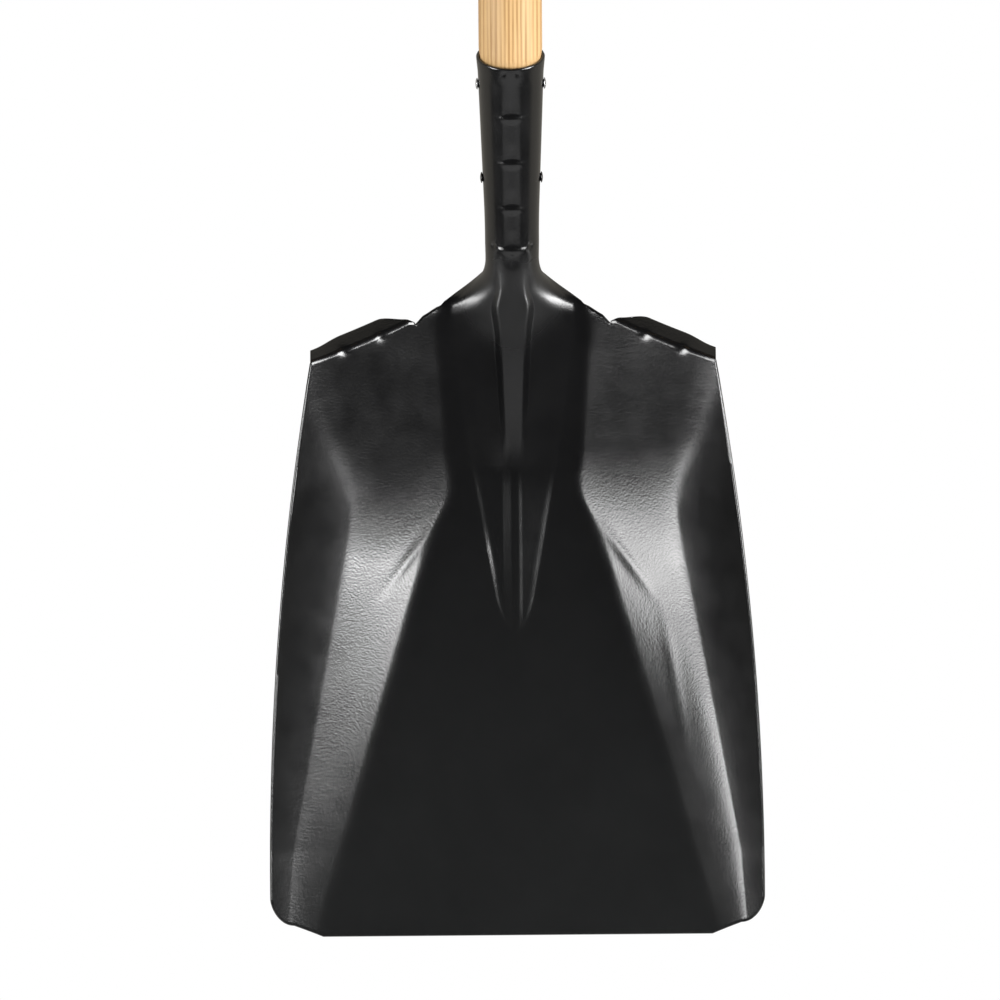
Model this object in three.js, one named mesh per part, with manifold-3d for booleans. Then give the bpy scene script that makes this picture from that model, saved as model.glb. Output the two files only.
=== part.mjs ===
// Grain scoop shovel: a pressed-steel scoop with an open-back socket, an ash shaft and a steel D-grip.
// Millimetres. +Z runs up the handle, and the hollow side of the scoop faces -Y.
// The origin lies on the underside of the grip's crossbar, where a hook carries the shovel.

import * as THREE from 'three';
import { mergeVertices } from 'three/addons/utils/BufferGeometryUtils.js';
import Module from 'manifold-3d';

const wasm = await Module();
wasm.setup();

// ---------- Driving dimensions ----------

const FIT_GAP = 0.35;

// Scoop, in its own flat frame: u across, v up from the cutting edge, d forward of the floor.
const SHEET = 1.9;
const LIFT = THREE.MathUtils.degToRad(26);
const HALF_WIDTH = 145.7;
const WIDEST_V = 33;
const TOP_NARROWING = 27.2;
const CUTTING_HALF = 115;
const CORNER_START = 133;
const CORNER_RISE = 18;
const CUT_BACK_SLOPE = 0.375;
const SHOULDER_INNER = { u: 57.5, v: 361 };
const SHOULDER_OUTER = { u: 118.9, v: 337.5 };

const PANEL_BEND_V = 258;
const PANEL_BEND_SOFT = 8;
const PANEL_INNER_U = 43;
const PANEL_SLOPE = 0.49;
const PANEL_TIP_SLOPE = 0.32;
const PANEL_HOLLOW = 0.05;
const PANEL_CURL = 0.08;
const PANEL_FULL_SLOPE_V = 230;
const WING_RISE = 0.37;
const SIDE_SLOPE = 0.71;
const SIDE_CURVE = 0.0095;
const STRIP_START_V = 265;
const STRIP_SLOPE = 0.4;

const FROG_START_V = 178;
const FROG_POINT = 24;
const FROG_TIP_HALF = 7.7;
const FROG_SPREAD = 0.175;
const FROG_NARROWING = 0.045;
const FROG_EDGE_HEIGHT = 2;
const FOOT_WIDTH = 3.4;
const FOOT_SLOPE = 0.28;
const FLANK_LOW_SLOPE = 0.12;
const FLANK_HIGH_SLOPE = 0.2;
const RIDGE_HALF = 5.6;
const RIDGE_RISE_V = 283;
const RIDGE_RISE = 0.09;

const NECK_ROLL_V = 371;
const NECK_EDGE_U = 44.5;
const NECK_AXIS = { v: 392, d: 49.5 };

const STEP_LENGTH = 13.3;
const STEP_TURN = THREE.MathUtils.degToRad(70);
const STEP_FILLET = 2.6;

// Socket, measured along the handle from the neck.
const SOCKET_LENGTH = 141;
const SOCKET_RADIUS = 15.95;
const SOCKET_TAPER = 0.0355;
const SOCKET_TAPER_START = 34;
const SEAM_ANGLE = THREE.MathUtils.degToRad(168);
const FULL_TUBE_S = 8;
const NECK_TRIM = 0.2;

// Handle.
const NECK_Z = -662;
const SHAFT_RADIUS = 18.7;
const SHAFT_TOP_RADIUS = 17.2;
const SHAFT_END_Z = -88;
const SOCKET_RIVETS = [
  { name: 'socket_rivet_upper', s: 122.5, head: 3.4, dome: 1.3 },
  { name: 'socket_rivet_lower', s: 61.4, head: 3.3, dome: 1.2 },
];
const RIVET_RADIUS = 2.4;

// D-grip.
const BAR_RADIUS = 15.5;
const BAR_END_RADIUS = 14.2;
const EAR_X = 52;
const EAR_RADIUS = 16.5;
const YOKE_SHEET = 2.2;
const FERRULE = { bottom: -158, top: -104, radius: 19.9 };
const GRIP_ROD_RADIUS = 4;
const GRIP_HEAD_RADIUS = 7.5;
const WASHER = { radius: 10.5, thickness: 1.6 };
const YOKE_RIVETS = [
  { name: 'yoke_rivet_upper', z: -116 },
  { name: 'yoke_rivet_lower', z: -144 },
];

// ---------- Small helpers ----------

const { lerp, smoothstep, clamp } = THREE.MathUtils;

// A soft knee: flat before `at`, slope 1 after it, rounded over +-soft.
function knee(x, at, soft) {
  if (x <= at - soft) return 0;
  if (x >= at + soft) return x - at;
  return (x - at + soft) ** 2 / (4 * soft);
}

const softMax = (a, b, soft) => b + knee(a - b, 0, soft);

function polyline(x, points) {
  const next = points.findIndex(([at]) => at > x);
  if (next === 0) return points[0][1];
  if (next < 0) return points[points.length - 1][1];
  const [x0, y0] = points[next - 1];
  const [x1, y1] = points[next];
  return lerp(y0, y1, (x - x0) / (x1 - x0));
}

// ---------- Outline and crease lines of the scoop ----------

const edgeLine = (v) => HALF_WIDTH - TOP_NARROWING * ((v - WIDEST_V) / 310) ** 2;
const innerLine = (v) => lerp(CUTTING_HALF, PANEL_INNER_U, v / PANEL_BEND_V);

// The crease between the panel and the side leans in from the tip, then out again to the shoulder.
function outerLine(v) {
  const leaningIn = Math.min(132.2 - 0.18 * (v - 51), 136.2 - 0.079 * v);
  const leaningOut = 94 + 0.31 * (v - 257);
  return softMax(leaningIn, leaningOut, 9);
}

const frogTopHalf = (v) => RIDGE_HALF + 0.045 * knee(v, 278, 8) + 0.16 * knee(v, 360, 6);

// The frog's half-width at its foot: straight sides with a rounded point at the bottom.
function frogBaseHalf(v) {
  const straight = FROG_TIP_HALF + FROG_SPREAD * (v - FROG_START_V) - FROG_NARROWING * knee(v, 285, 15);
  const rise = clamp((v - FROG_START_V) / FROG_POINT, 0, 1);
  return straight * Math.sqrt(rise * (2 - rise));
}

function tipLine(u) {
  const straight = CUT_BACK_SLOPE * Math.max(0, Math.min(u, CORNER_START) - CUTTING_HALF);
  const across = clamp((u - CORNER_START) / (HALF_WIDTH - CORNER_START), 0, 1);
  return straight + CORNER_RISE * (1 - Math.sqrt(1 - across * across));
}

function shoulderLine(u) {
  const across = (u - SHOULDER_INNER.u) / (SHOULDER_OUTER.u - SHOULDER_INNER.u);
  return lerp(SHOULDER_INNER.v, SHOULDER_OUTER.v, Math.max(across, 0));
}

// The half-widths that the columns of the sheet follow at one height.
function columnLines(v) {
  const frogBase = Math.max(frogBaseHalf(v), 10);
  const inner = polyline(v, [
    [0, CUTTING_HALF], [PANEL_BEND_V, PANEL_INNER_U], [280, 41],
    [SHOULDER_INNER.v, SHOULDER_INNER.u], [366, 53], [NECK_ROLL_V, NECK_EDGE_U],
  ]);
  const edge = edgeLine(v);
  const outer = Math.min(outerLine(v), edge - 4);
  return [0, frogTopHalf(v), frogBase, inner, outer, edge];
}

// ---------- Height of the scoop's sheet above its floor plane ----------

const stripHeight = (v) => STRIP_SLOPE * knee(v, STRIP_START_V, 12);

// How far into a facet of the given width a point lies, eased at both sides.
function facet(depth, width, soft) {
  return knee(depth, 0, soft) - knee(depth, width, soft);
}

// The frog above the strips: a foot facet, a flank up to the ridge, and the ridge's own walls near the neck.
function frogHeight(signedU, v) {
  const u = Math.abs(signedU);
  const base = frogBaseHalf(v);
  if (base <= 0) return 0;
  const point = Math.min(base / (FROG_TIP_HALF + 2 * FOOT_WIDTH), 1);
  const ridge = Math.min(frogTopHalf(v), 0.6 * base);
  const footWidth = FOOT_WIDTH * point;
  const flankWidth = Math.max(base - footWidth - ridge, 0.5);
  const flankSlope = lerp(FLANK_LOW_SLOPE, FLANK_HIGH_SLOPE, smoothstep(v, 270, 350));
  const crest = point * (FROG_EDGE_HEIGHT + flankSlope * flankWidth);
  const footRise = Math.min(FOOT_SLOPE * footWidth, 0.45 * crest);
  const foot = (footRise * facet(base - u, footWidth, 0.8)) / footWidth;
  const inFlank = facet(base - footWidth - u, flankWidth, 0.5);
  const flank = ((crest - footRise) * inFlank) / flankWidth;
  const wall = RIDGE_RISE * knee(v, RIDGE_RISE_V, 8) * clamp((ridge + 2 - u) / 3, 0, 1);
  return foot + flank + wall;
}

// The panel is a little hollow across, and its wing bends forward near the shoulder.
function panelHeight(u, v) {
  const inner = innerLine(v);
  const width = outerLine(v) - inner;
  const x = (u - inner) / width;
  const slope = lerp(PANEL_TIP_SLOPE, PANEL_SLOPE, Math.min(v / PANEL_FULL_SLOPE_V, 1));
  const across = Math.max(x, 0);
  const curl = PANEL_HOLLOW * across ** 2 + (PANEL_CURL / 7) * across ** 7;
  const lower = width * ((slope - PANEL_HOLLOW) * x + curl);
  const upper = PANEL_SLOPE * (u - PANEL_INNER_U) + WING_RISE * (v - PANEL_BEND_V);
  return softMax(lower, upper, PANEL_BEND_SOFT);
}

function sheetHeight(signedU, v) {
  const u = Math.abs(signedU);
  const crease = outerLine(v);
  const inside = panelHeight(Math.min(u, crease), v);
  const slope = panelHeight(crease, v) - panelHeight(crease - 1, v);
  const outside = Math.max(0, u - crease);
  const soft = lerp(1, 12, smoothstep(v, 240, 310));
  const fold = (SIDE_SLOPE - slope) * (knee(u, crease, soft) - knee(crease, crease, soft));
  const beyond = slope * outside + fold + (SIDE_CURVE / 2) * outside ** 2;
  const hollow = softMax(inside, stripHeight(v), 2);
  return hollow + beyond + frogHeight(u, v);
}

// ---------- Columns and rows of the scoop's mid-surface ----------

// How many columns each band between two lines gets, from the centre to the edge.
const BAND_COLUMNS = [2, 6, 2, 3, 3];
const FROG_BANDS = BAND_COLUMNS[0] + BAND_COLUMNS[1] + BAND_COLUMNS[2];
const HALF_COLUMNS = BAND_COLUMNS.reduce((sum, count) => sum + count, 0);

function bandOf(column) {
  let left = Math.abs(column);
  for (let band = 0; band < BAND_COLUMNS.length; band += 1) {
    if (left <= BAND_COLUMNS[band]) return { band, part: left / BAND_COLUMNS[band] };
    left -= BAND_COLUMNS[band];
  }
  return { band: BAND_COLUMNS.length - 1, part: 1 };
}

function columnU(column, v) {
  const { band, part } = bandOf(column);
  const lines = columnLines(v);
  return Math.sign(column) * lerp(lines[band], lines[band + 1], part);
}

function platePoint(column, v) {
  const u = columnU(column, v);
  return new THREE.Vector3(u, -sheetHeight(u, v), v);
}

const PLATE_ROWS = 24;

function plateRow(row) {
  const points = new Map();
  for (let column = -HALF_COLUMNS; column <= HALF_COLUMNS; column += 1) {
    const bottom = tipLine(Math.abs(columnU(column, 0)));
    const top = shoulderLine(Math.abs(columnU(column, SHOULDER_OUTER.v)));
    const inFrog = Math.abs(column) <= FROG_BANDS;
    const v = lerp(bottom, inFrog ? SHOULDER_INNER.v : top, row / PLATE_ROWS);
    points.set(column, platePoint(column, v));
  }
  return points;
}

// ---------- Neck and socket ----------

const socketRadius = (s) => {
  const flare = 0.5 * smoothstep(s, SOCKET_LENGTH - 12, SOCKET_LENGTH);
  return SOCKET_RADIUS + SOCKET_TAPER * knee(s, SOCKET_TAPER_START, 12) + flare;
};

// The turn of the tube's wall at a column, from 0 at the front to the seam at the back.
function tubeAngle(column) {
  const turns = [0, 0.21, 0.86, 1];
  const { band, part } = bandOf(column);
  return Math.sign(column) * SEAM_ANGLE * lerp(turns[band], turns[band + 1], part);
}

// Steps between neighbouring columns of a section: how long each is and which way it heads.
function plateSteps(v) {
  const steps = [];
  for (let column = 1; column <= FROG_BANDS; column += 1) {
    const step = platePoint(column, v).sub(platePoint(column - 1, v));
    steps.push({ length: step.length(), heading: Math.atan2(step.y, step.x) });
  }
  return steps;
}

function tubeSteps(radius) {
  const steps = [];
  for (let column = 1; column <= FROG_BANDS; column += 1) {
    const from = tubeAngle(column - 1);
    const to = tubeAngle(column);
    steps.push({ length: 2 * radius * Math.sin((to - from) / 2), heading: (from + to) / 2 });
  }
  return steps;
}

// A row of the neck, rolled from the plate's section to the tube's as `roll` goes from 0 to 1.
// The sheet is trimmed narrower half-way, so that its edges don't bulge behind the neck.
function rolledRow(s, roll) {
  const radius = socketRadius(s) - SHEET / 2;
  const flat = plateSteps(NECK_ROLL_V);
  const round = tubeSteps(radius);
  const trim = 1 - NECK_TRIM * Math.sin(Math.PI * roll);
  const tilt = LIFT * roll;
  const front = frontOfSocket(s, radius);
  const points = new Map([[0, front]]);
  let across = 0;
  let behind = 0;
  for (let column = 1; column <= FROG_BANDS; column += 1) {
    const length = trim * lerp(flat[column - 1].length, round[column - 1].length, roll);
    const heading = lerp(flat[column - 1].heading, round[column - 1].heading, roll);
    across += length * Math.cos(heading);
    behind += length * Math.sin(heading);
    const offset = new THREE.Vector3(0, Math.cos(tilt), Math.sin(tilt)).multiplyScalar(behind);
    points.set(column, front.clone().add(offset).setX(across));
    points.set(-column, front.clone().add(offset).setX(-across));
  }
  return points;
}

// A point of the tube's axis, in the scoop's flat frame.
function axisPoint(s) {
  const v = NECK_AXIS.v + s * Math.cos(LIFT);
  const d = NECK_AXIS.d + s * Math.sin(LIFT);
  return new THREE.Vector3(0, -d, v);
}

function frontOfSocket(s, radius) {
  const forward = new THREE.Vector3(0, -Math.cos(LIFT), -Math.sin(LIFT));
  return axisPoint(s).addScaledVector(forward, radius);
}

function socketRows() {
  const rows = [366, NECK_ROLL_V].map((v) => {
    const points = new Map();
    for (let column = -FROG_BANDS; column <= FROG_BANDS; column += 1) {
      points.set(column, platePoint(column, v));
    }
    return points;
  });
  const rollStart = (NECK_ROLL_V - NECK_AXIS.v) / Math.cos(LIFT) + SOCKET_RADIUS * Math.tan(LIFT);
  const rollRows = 8;
  for (let row = 1; row <= rollRows; row += 1) {
    const s = lerp(rollStart, FULL_TUBE_S, row / rollRows);
    rows.push(rolledRow(s, smoothstep(row / rollRows, -0.15, 1)));
  }
  for (const s of [34, 55, 75, 95, 115, 129, 136, SOCKET_LENGTH]) rows.push(rolledRow(s, 1));
  return rows;
}

// ---------- Steps: the flanges turned back along the shoulders ----------

function stepDirections() {
  const wingNormal = new THREE.Vector3(-PANEL_SLOPE, -1, -WING_RISE).normalize();
  const du = SHOULDER_OUTER.u - SHOULDER_INNER.u;
  const dv = SHOULDER_OUTER.v - SHOULDER_INNER.v;
  const along = new THREE.Vector3(du, -(PANEL_SLOPE * du + WING_RISE * dv), dv).normalize();
  const upward = new THREE.Vector3().crossVectors(along, wingNormal);
  if (upward.z < 0) upward.negate();
  return { wingNormal, upward };
}

function stepPoint(foot, reach) {
  const { wingNormal, upward } = stepDirections();
  const side = Math.sign(foot.x);
  const point = new THREE.Vector3(Math.abs(foot.x), foot.y, foot.z);
  const pieces = 8;
  for (let piece = 0; piece < pieces; piece += 1) {
    const middle = (reach * (piece + 0.5)) / pieces;
    const turn = STEP_TURN * Math.min(1, middle / STEP_FILLET);
    point.addScaledVector(upward, (Math.cos(turn) * reach) / pieces);
    point.addScaledVector(wingNormal, (-Math.sin(turn) * reach) / pieces);
  }
  const straight = smoothstep(Math.abs(foot.x), SHOULDER_OUTER.u - 24, SHOULDER_OUTER.u);
  point.x = side * lerp(point.x, Math.abs(foot.x), straight);
  return point;
}

function stepRow(shoulder, side, share) {
  const points = new Map();
  for (let count = FROG_BANDS; count <= HALF_COLUMNS; count += 1) {
    const foot = shoulder.get(side * count);
    const full = smoothstep(Math.abs(foot.x), SHOULDER_INNER.u - 2, SHOULDER_INNER.u + 16);
    points.set(side * count, stepPoint(foot, share * lerp(1.2, STEP_LENGTH, full)));
  }
  return points;
}

// ---------- Turning a mid-surface into a closed sheet ----------

class Sheet {
  constructor() {
    this.points = [];
    this.quads = [];
  }

  index(point) {
    if (point.sheetIndex === undefined) {
      point.sheetIndex = this.points.length;
      this.points.push(point);
    }
    return point.sheetIndex;
  }

  // Rows are maps from column number to point; neighbouring columns of two rows make one quad.
  join(lower, upper) {
    for (const column of upper.keys()) {
      const next = column + 1;
      if (!upper.has(next) || !lower.has(next) || !lower.has(column)) continue;
      const corners = [lower.get(column), lower.get(next), upper.get(next), upper.get(column)];
      this.quads.push(corners.map((corner) => this.index(corner)));
    }
  }

  normals() {
    const normals = this.points.map(() => new THREE.Vector3());
    for (const [a, b, c, d] of this.quads) {
      const across = this.points[c].clone().sub(this.points[a]);
      const other = this.points[d].clone().sub(this.points[b]);
      const face = across.cross(other).normalize();
      for (const corner of [a, b, c, d]) normals[corner].add(face);
    }
    return normals.map((normal) => normal.normalize());
  }

  rimEdges() {
    const edges = new Map();
    for (const quad of this.quads) {
      quad.forEach((from, corner) => {
        const to = quad[(corner + 1) % 4];
        if (!edges.delete(`${to},${from}`)) edges.set(`${from},${to}`, [from, to]);
      });
    }
    return [...edges.values()];
  }

  toGeometry(thickness) {
    const normals = this.normals();
    const count = this.points.length;
    const positions = [];
    for (const half of [thickness / 2, -thickness / 2]) {
      this.points.forEach((point, i) => {
        positions.push(...point.clone().addScaledVector(normals[i], half).toArray());
      });
    }
    const triangles = [];
    const addQuad = (a, b, c, d) => triangles.push(a, b, c, a, c, d);
    for (const [a, b, c, d] of this.quads) {
      addQuad(a, b, c, d);
      addQuad(d + count, c + count, b + count, a + count);
    }
    for (const [from, to] of this.rimEdges()) addQuad(to, from, from + count, to + count);
    const geometry = new THREE.BufferGeometry();
    geometry.setAttribute('position', new THREE.Float32BufferAttribute(positions, 3));
    geometry.setIndex(triangles);
    return geometry;
  }
}

// ---------- Booleans ----------

function toSolid(geometry) {
  const bare = geometry.clone();
  bare.deleteAttribute('normal');
  bare.deleteAttribute('uv');
  const merged = mergeVertices(bare, 1e-4);
  const vertProperties = new Float32Array(merged.attributes.position.array);
  const triVerts = new Uint32Array(merged.index.array);
  return new wasm.Manifold(new wasm.Mesh({ numProp: 3, vertProperties, triVerts }));
}

function toGeometry(solid) {
  const mesh = solid.getMesh();
  const geometry = new THREE.BufferGeometry();
  geometry.setAttribute('position', new THREE.BufferAttribute(new Float32Array(mesh.vertProperties), 3));
  geometry.setIndex(new THREE.BufferAttribute(new Uint32Array(mesh.triVerts), 1));
  geometry.computeVertexNormals();
  return geometry;
}

function cut(geometry, drills) {
  return toGeometry(drills.reduce((solid, drill) => solid.subtract(toSolid(drill)), toSolid(geometry)));
}

// A drill through the object along X or Y.
function drill(axis, radius, centre) {
  const cylinder = new THREE.CylinderGeometry(radius, radius, 90, 20);
  if (axis === 'x') cylinder.rotateZ(Math.PI / 2);
  return cylinder.translate(centre.x, centre.y, centre.z);
}

// ---------- The scoop with its socket ----------

function scoopGeometry() {
  const sheet = new Sheet();
  const plate = [];
  for (let row = 0; row <= PLATE_ROWS; row += 1) plate.push(plateRow(row));
  for (let row = 1; row <= PLATE_ROWS; row += 1) sheet.join(plate[row - 1], plate[row]);

  let lower = plate[PLATE_ROWS];
  for (const upper of socketRows()) {
    sheet.join(lower, upper);
    lower = upper;
  }

  for (const side of [-1, 1]) {
    lower = plate[PLATE_ROWS];
    for (const share of [0.12, 0.25, 0.6, 1]) {
      const upper = stepRow(plate[PLATE_ROWS], side, share);
      sheet.join(lower, upper);
      lower = upper;
    }
  }
  const holes = SOCKET_RIVETS.map(({ s }) => drill('x', RIVET_RADIUS + FIT_GAP, axisPoint(s)));
  return cut(sheet.toGeometry(SHEET), holes);
}

// ---------- Turned pieces ----------

const ROUND_SEGMENTS = 28;

function turned(profile, segments = ROUND_SEGMENTS) {
  const points = profile.map(([radius, height]) => new THREE.Vector2(radius, height));
  return new THREE.LatheGeometry(points, segments).rotateX(Math.PI / 2);
}

function shaftGeometry() {
  const inSocket = (s) => [socketRadius(s) - SHEET - FIT_GAP, NECK_Z + s];
  const rimZ = NECK_Z + SOCKET_LENGTH;
  const profile = [
    [0, NECK_Z - 34],
    [4.5, NECK_Z - 31],
    [9.5, NECK_Z + 4],
    inSocket(26),
    inSocket(50),
    inSocket(90),
    inSocket(128),
    inSocket(SOCKET_LENGTH),
    [SHAFT_RADIUS, rimZ + 4],
    [SHAFT_RADIUS, FERRULE.bottom - 90],
    [SHAFT_TOP_RADIUS, FERRULE.bottom - 6],
    [SHAFT_TOP_RADIUS, SHAFT_END_Z - 5],
    [SHAFT_TOP_RADIUS - 5, SHAFT_END_Z],
    [0, SHAFT_END_Z],
  ];
  const socketDrills = SOCKET_RIVETS.map(({ s }) => {
    return drill('x', RIVET_RADIUS + FIT_GAP, new THREE.Vector3(0, 0, NECK_Z + s));
  });
  const yokeDrills = YOKE_RIVETS.map(({ z }) => {
    return drill('y', RIVET_RADIUS + FIT_GAP, new THREE.Vector3(0, 0, z));
  });
  return cut(turned(profile, 32), [...socketDrills, ...yokeDrills]);
}

// A rivet along its own Z axis: a shank with a domed head at both ends.
function rivetGeometry(halfLength, radius, headRadius, dome) {
  const quarter = [1, 0.8, 0.45, 0];
  const domeHeight = (share) => dome * Math.sqrt(1 - share * share);
  const upper = quarter.map((share) => [headRadius * share, halfLength + domeHeight(share)]);
  const lower = upper.map(([r, height]) => [r, -height]).reverse();
  return turned([...lower, [radius, -halfLength], [radius, halfLength], ...upper], 14);
}

// ---------- D-grip ----------

const YOKE_RADIUS = FERRULE.radius - YOKE_SHEET / 2;
const ARM_TURN = 1.3;
const ARM_COLUMNS = 8;
const GAP_COLUMNS = 2;

// The arm's middle line, from the ferrule's wall up to the top of the ear.
function armPath(height) {
  return lerp(YOKE_RADIUS, EAR_X + YOKE_SHEET / 2, smoothstep(height, FERRULE.top, -34));
}

function armHalfWidth(height) {
  const overEar = Math.max(0, height - BAR_RADIUS);
  const ear = Math.sqrt(Math.max(0, EAR_RADIUS ** 2 - overEar ** 2));
  const waist = lerp(YOKE_RADIUS * Math.sin(ARM_TURN), 14, smoothstep(height, FERRULE.top, -52));
  return lerp(waist, ear, smoothstep(height, -42, -4));
}

// One row of an arm. It is curved round the handle at the ferrule and flattens toward the ear.
function armRow(side, height) {
  const turn = lerp(ARM_TURN, 0.01, smoothstep(height, FERRULE.top, -8));
  const radius = armHalfWidth(height) / Math.sin(turn);
  const lean = Math.atan(armPath(height + 0.5) - armPath(height - 0.5));
  const first = side > 0 ? 0 : ARM_COLUMNS + GAP_COLUMNS;
  const points = new Map();
  for (let column = 0; column <= ARM_COLUMNS; column += 1) {
    const angle = turn * ((2 * column) / ARM_COLUMNS - 1);
    const inward = radius * (1 - Math.cos(angle));
    const x = armPath(height) - inward * Math.cos(lean);
    const y = radius * Math.sin(angle);
    const z = height + inward * Math.sin(lean);
    points.set(first + column, new THREE.Vector3(side * x, side * y, z));
  }
  return points;
}

// One row of the ferrule, all the way round: an arm, a gap, the other arm and the other gap.
function ferruleRow(height) {
  const points = new Map();
  const gapTurn = Math.PI - 2 * ARM_TURN;
  for (const [first, start] of [[0, -ARM_TURN], [ARM_COLUMNS + GAP_COLUMNS, Math.PI - ARM_TURN]]) {
    for (let column = 0; column < ARM_COLUMNS + GAP_COLUMNS; column += 1) {
      const inGap = Math.max(0, column - ARM_COLUMNS) / GAP_COLUMNS;
      const inArm = Math.min(column, ARM_COLUMNS) / ARM_COLUMNS;
      const angle = start + 2 * ARM_TURN * inArm + gapTurn * inGap;
      const across = new THREE.Vector3(YOKE_RADIUS * Math.cos(angle), YOKE_RADIUS * Math.sin(angle), height);
      points.set(first + column, across);
    }
  }
  return points.set(2 * (ARM_COLUMNS + GAP_COLUMNS), points.get(0));
}

function armHeights() {
  const heights = [];
  for (let row = 1; row <= 9; row += 1) heights.push(lerp(FERRULE.top, -30, row / 9));
  heights.push(-20, -8, 3, BAR_RADIUS);
  for (const turn of [0.35, 0.65, 0.9, 1.15, 1.4]) {
    heights.push(BAR_RADIUS + EAR_RADIUS * Math.sin(turn));
  }
  return heights;
}

function yokeGeometry() {
  const sheet = new Sheet();
  let lower = ferruleRow(FERRULE.bottom);
  for (const share of [0.25, 0.5, 0.75, 1]) {
    const upper = ferruleRow(lerp(FERRULE.bottom, FERRULE.top, share));
    sheet.join(lower, upper);
    lower = upper;
  }
  const ferruleTop = lower;
  for (const side of [-1, 1]) {
    lower = ferruleTop;
    for (const height of armHeights()) {
      const upper = armRow(side, height);
      sheet.join(lower, upper);
      lower = upper;
    }
  }
  const rodHole = drill('x', GRIP_ROD_RADIUS + FIT_GAP, new THREE.Vector3(0, 0, BAR_RADIUS));
  rodHole.scale(2, 1, 1);
  const rivetHoles = YOKE_RIVETS.map(({ z }) => {
    return drill('y', RIVET_RADIUS + FIT_GAP, new THREE.Vector3(0, 0, z));
  });
  return cut(sheet.toGeometry(YOKE_SHEET), [rodHole, ...rivetHoles]);
}

function crossbarGeometry() {
  const half = EAR_X - FIT_GAP;
  const bore = GRIP_ROD_RADIUS + FIT_GAP;
  const barrel = [-1, -0.93, -0.5, 0, 0.5, 0.93, 1].map((share) => {
    const swell = Math.cos((share * Math.PI) / 2);
    const edge = Math.abs(share) === 1 ? 1.5 : 0;
    return [lerp(BAR_END_RADIUS, BAR_RADIUS, swell) - edge, share * half];
  });
  return turned([[bore, -half], ...barrel, [bore, half], [bore, -half]]);
}

function washerGeometry() {
  const bore = GRIP_ROD_RADIUS + FIT_GAP;
  const half = WASHER.thickness / 2;
  return turned([
    [bore, -half],
    [WASHER.radius, -half],
    [WASHER.radius, half],
    [bore, half],
    [bore, -half],
  ]);
}

// ---------- Assembly ----------

const PAINTED_STEEL = { color: 0x15161a, roughness: 0.32, metalness: 0.0 };
const ASH = { color: 0xcfab7c, roughness: 0.45, metalness: 0.0 };
const BRIGHT_STEEL = { color: 0xb9bbbf, roughness: 0.3, metalness: 1.0 };

function piece(name, geometry, look) {
  const mesh = new THREE.Mesh(geometry, new THREE.MeshStandardMaterial(look));
  mesh.name = name;
  return mesh;
}

function scoopGroup() {
  const group = new THREE.Group();
  group.rotation.x = -LIFT;
  group.add(piece('blade_socket', scoopGeometry(), PAINTED_STEEL));
  const neck = axisPoint(0).applyEuler(group.rotation);
  group.position.set(0, -neck.y, NECK_Z - neck.z);
  return group;
}

function socketRivet({ name, s, head, dome }) {
  const look = name === 'socket_rivet_upper' ? BRIGHT_STEEL : PAINTED_STEEL;
  const halfLength = socketRadius(s) + FIT_GAP;
  const rivet = piece(name, rivetGeometry(halfLength, RIVET_RADIUS, head, dome), look);
  rivet.rotation.y = Math.PI / 2;
  rivet.position.z = NECK_Z + s;
  return rivet;
}

function yokeRivet({ name, z }) {
  const halfLength = FERRULE.radius + FIT_GAP;
  const rivet = piece(name, rivetGeometry(halfLength, RIVET_RADIUS, 4.2, 1.8), BRIGHT_STEEL);
  rivet.rotation.x = Math.PI / 2;
  rivet.position.z = z;
  return rivet;
}

function crossbarGroup() {
  const group = new THREE.Group();
  group.rotation.y = Math.PI / 2;
  group.position.z = BAR_RADIUS;
  const earOuter = EAR_X + YOKE_SHEET;
  const washerCentre = earOuter + FIT_GAP + WASHER.thickness / 2;
  const rodHalf = earOuter + 2 * FIT_GAP + WASHER.thickness;
  group.add(piece('grip_crossbar', crossbarGeometry(), ASH));
  group.add(piece('grip_rivet', rivetGeometry(rodHalf, GRIP_ROD_RADIUS, GRIP_HEAD_RADIUS, 4), BRIGHT_STEEL));
  for (const [name, side] of [['grip_washer_left', -1], ['grip_washer_right', 1]]) {
    const washer = piece(name, washerGeometry(), BRIGHT_STEEL);
    washer.position.z = side * washerCentre;
    group.add(washer);
  }
  return group;
}

const shovel = new THREE.Group();
shovel.add(scoopGroup());
shovel.add(piece('shaft', shaftGeometry(), ASH));
SOCKET_RIVETS.forEach((rivet) => shovel.add(socketRivet(rivet)));
shovel.add(piece('grip_yoke', yokeGeometry(), PAINTED_STEEL));
YOKE_RIVETS.forEach((rivet) => shovel.add(yokeRivet(rivet)));
shovel.add(crossbarGroup());

export default shovel;
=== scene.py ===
import math

import bpy
import numpy as np
from mathutils import Matrix, Vector


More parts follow.
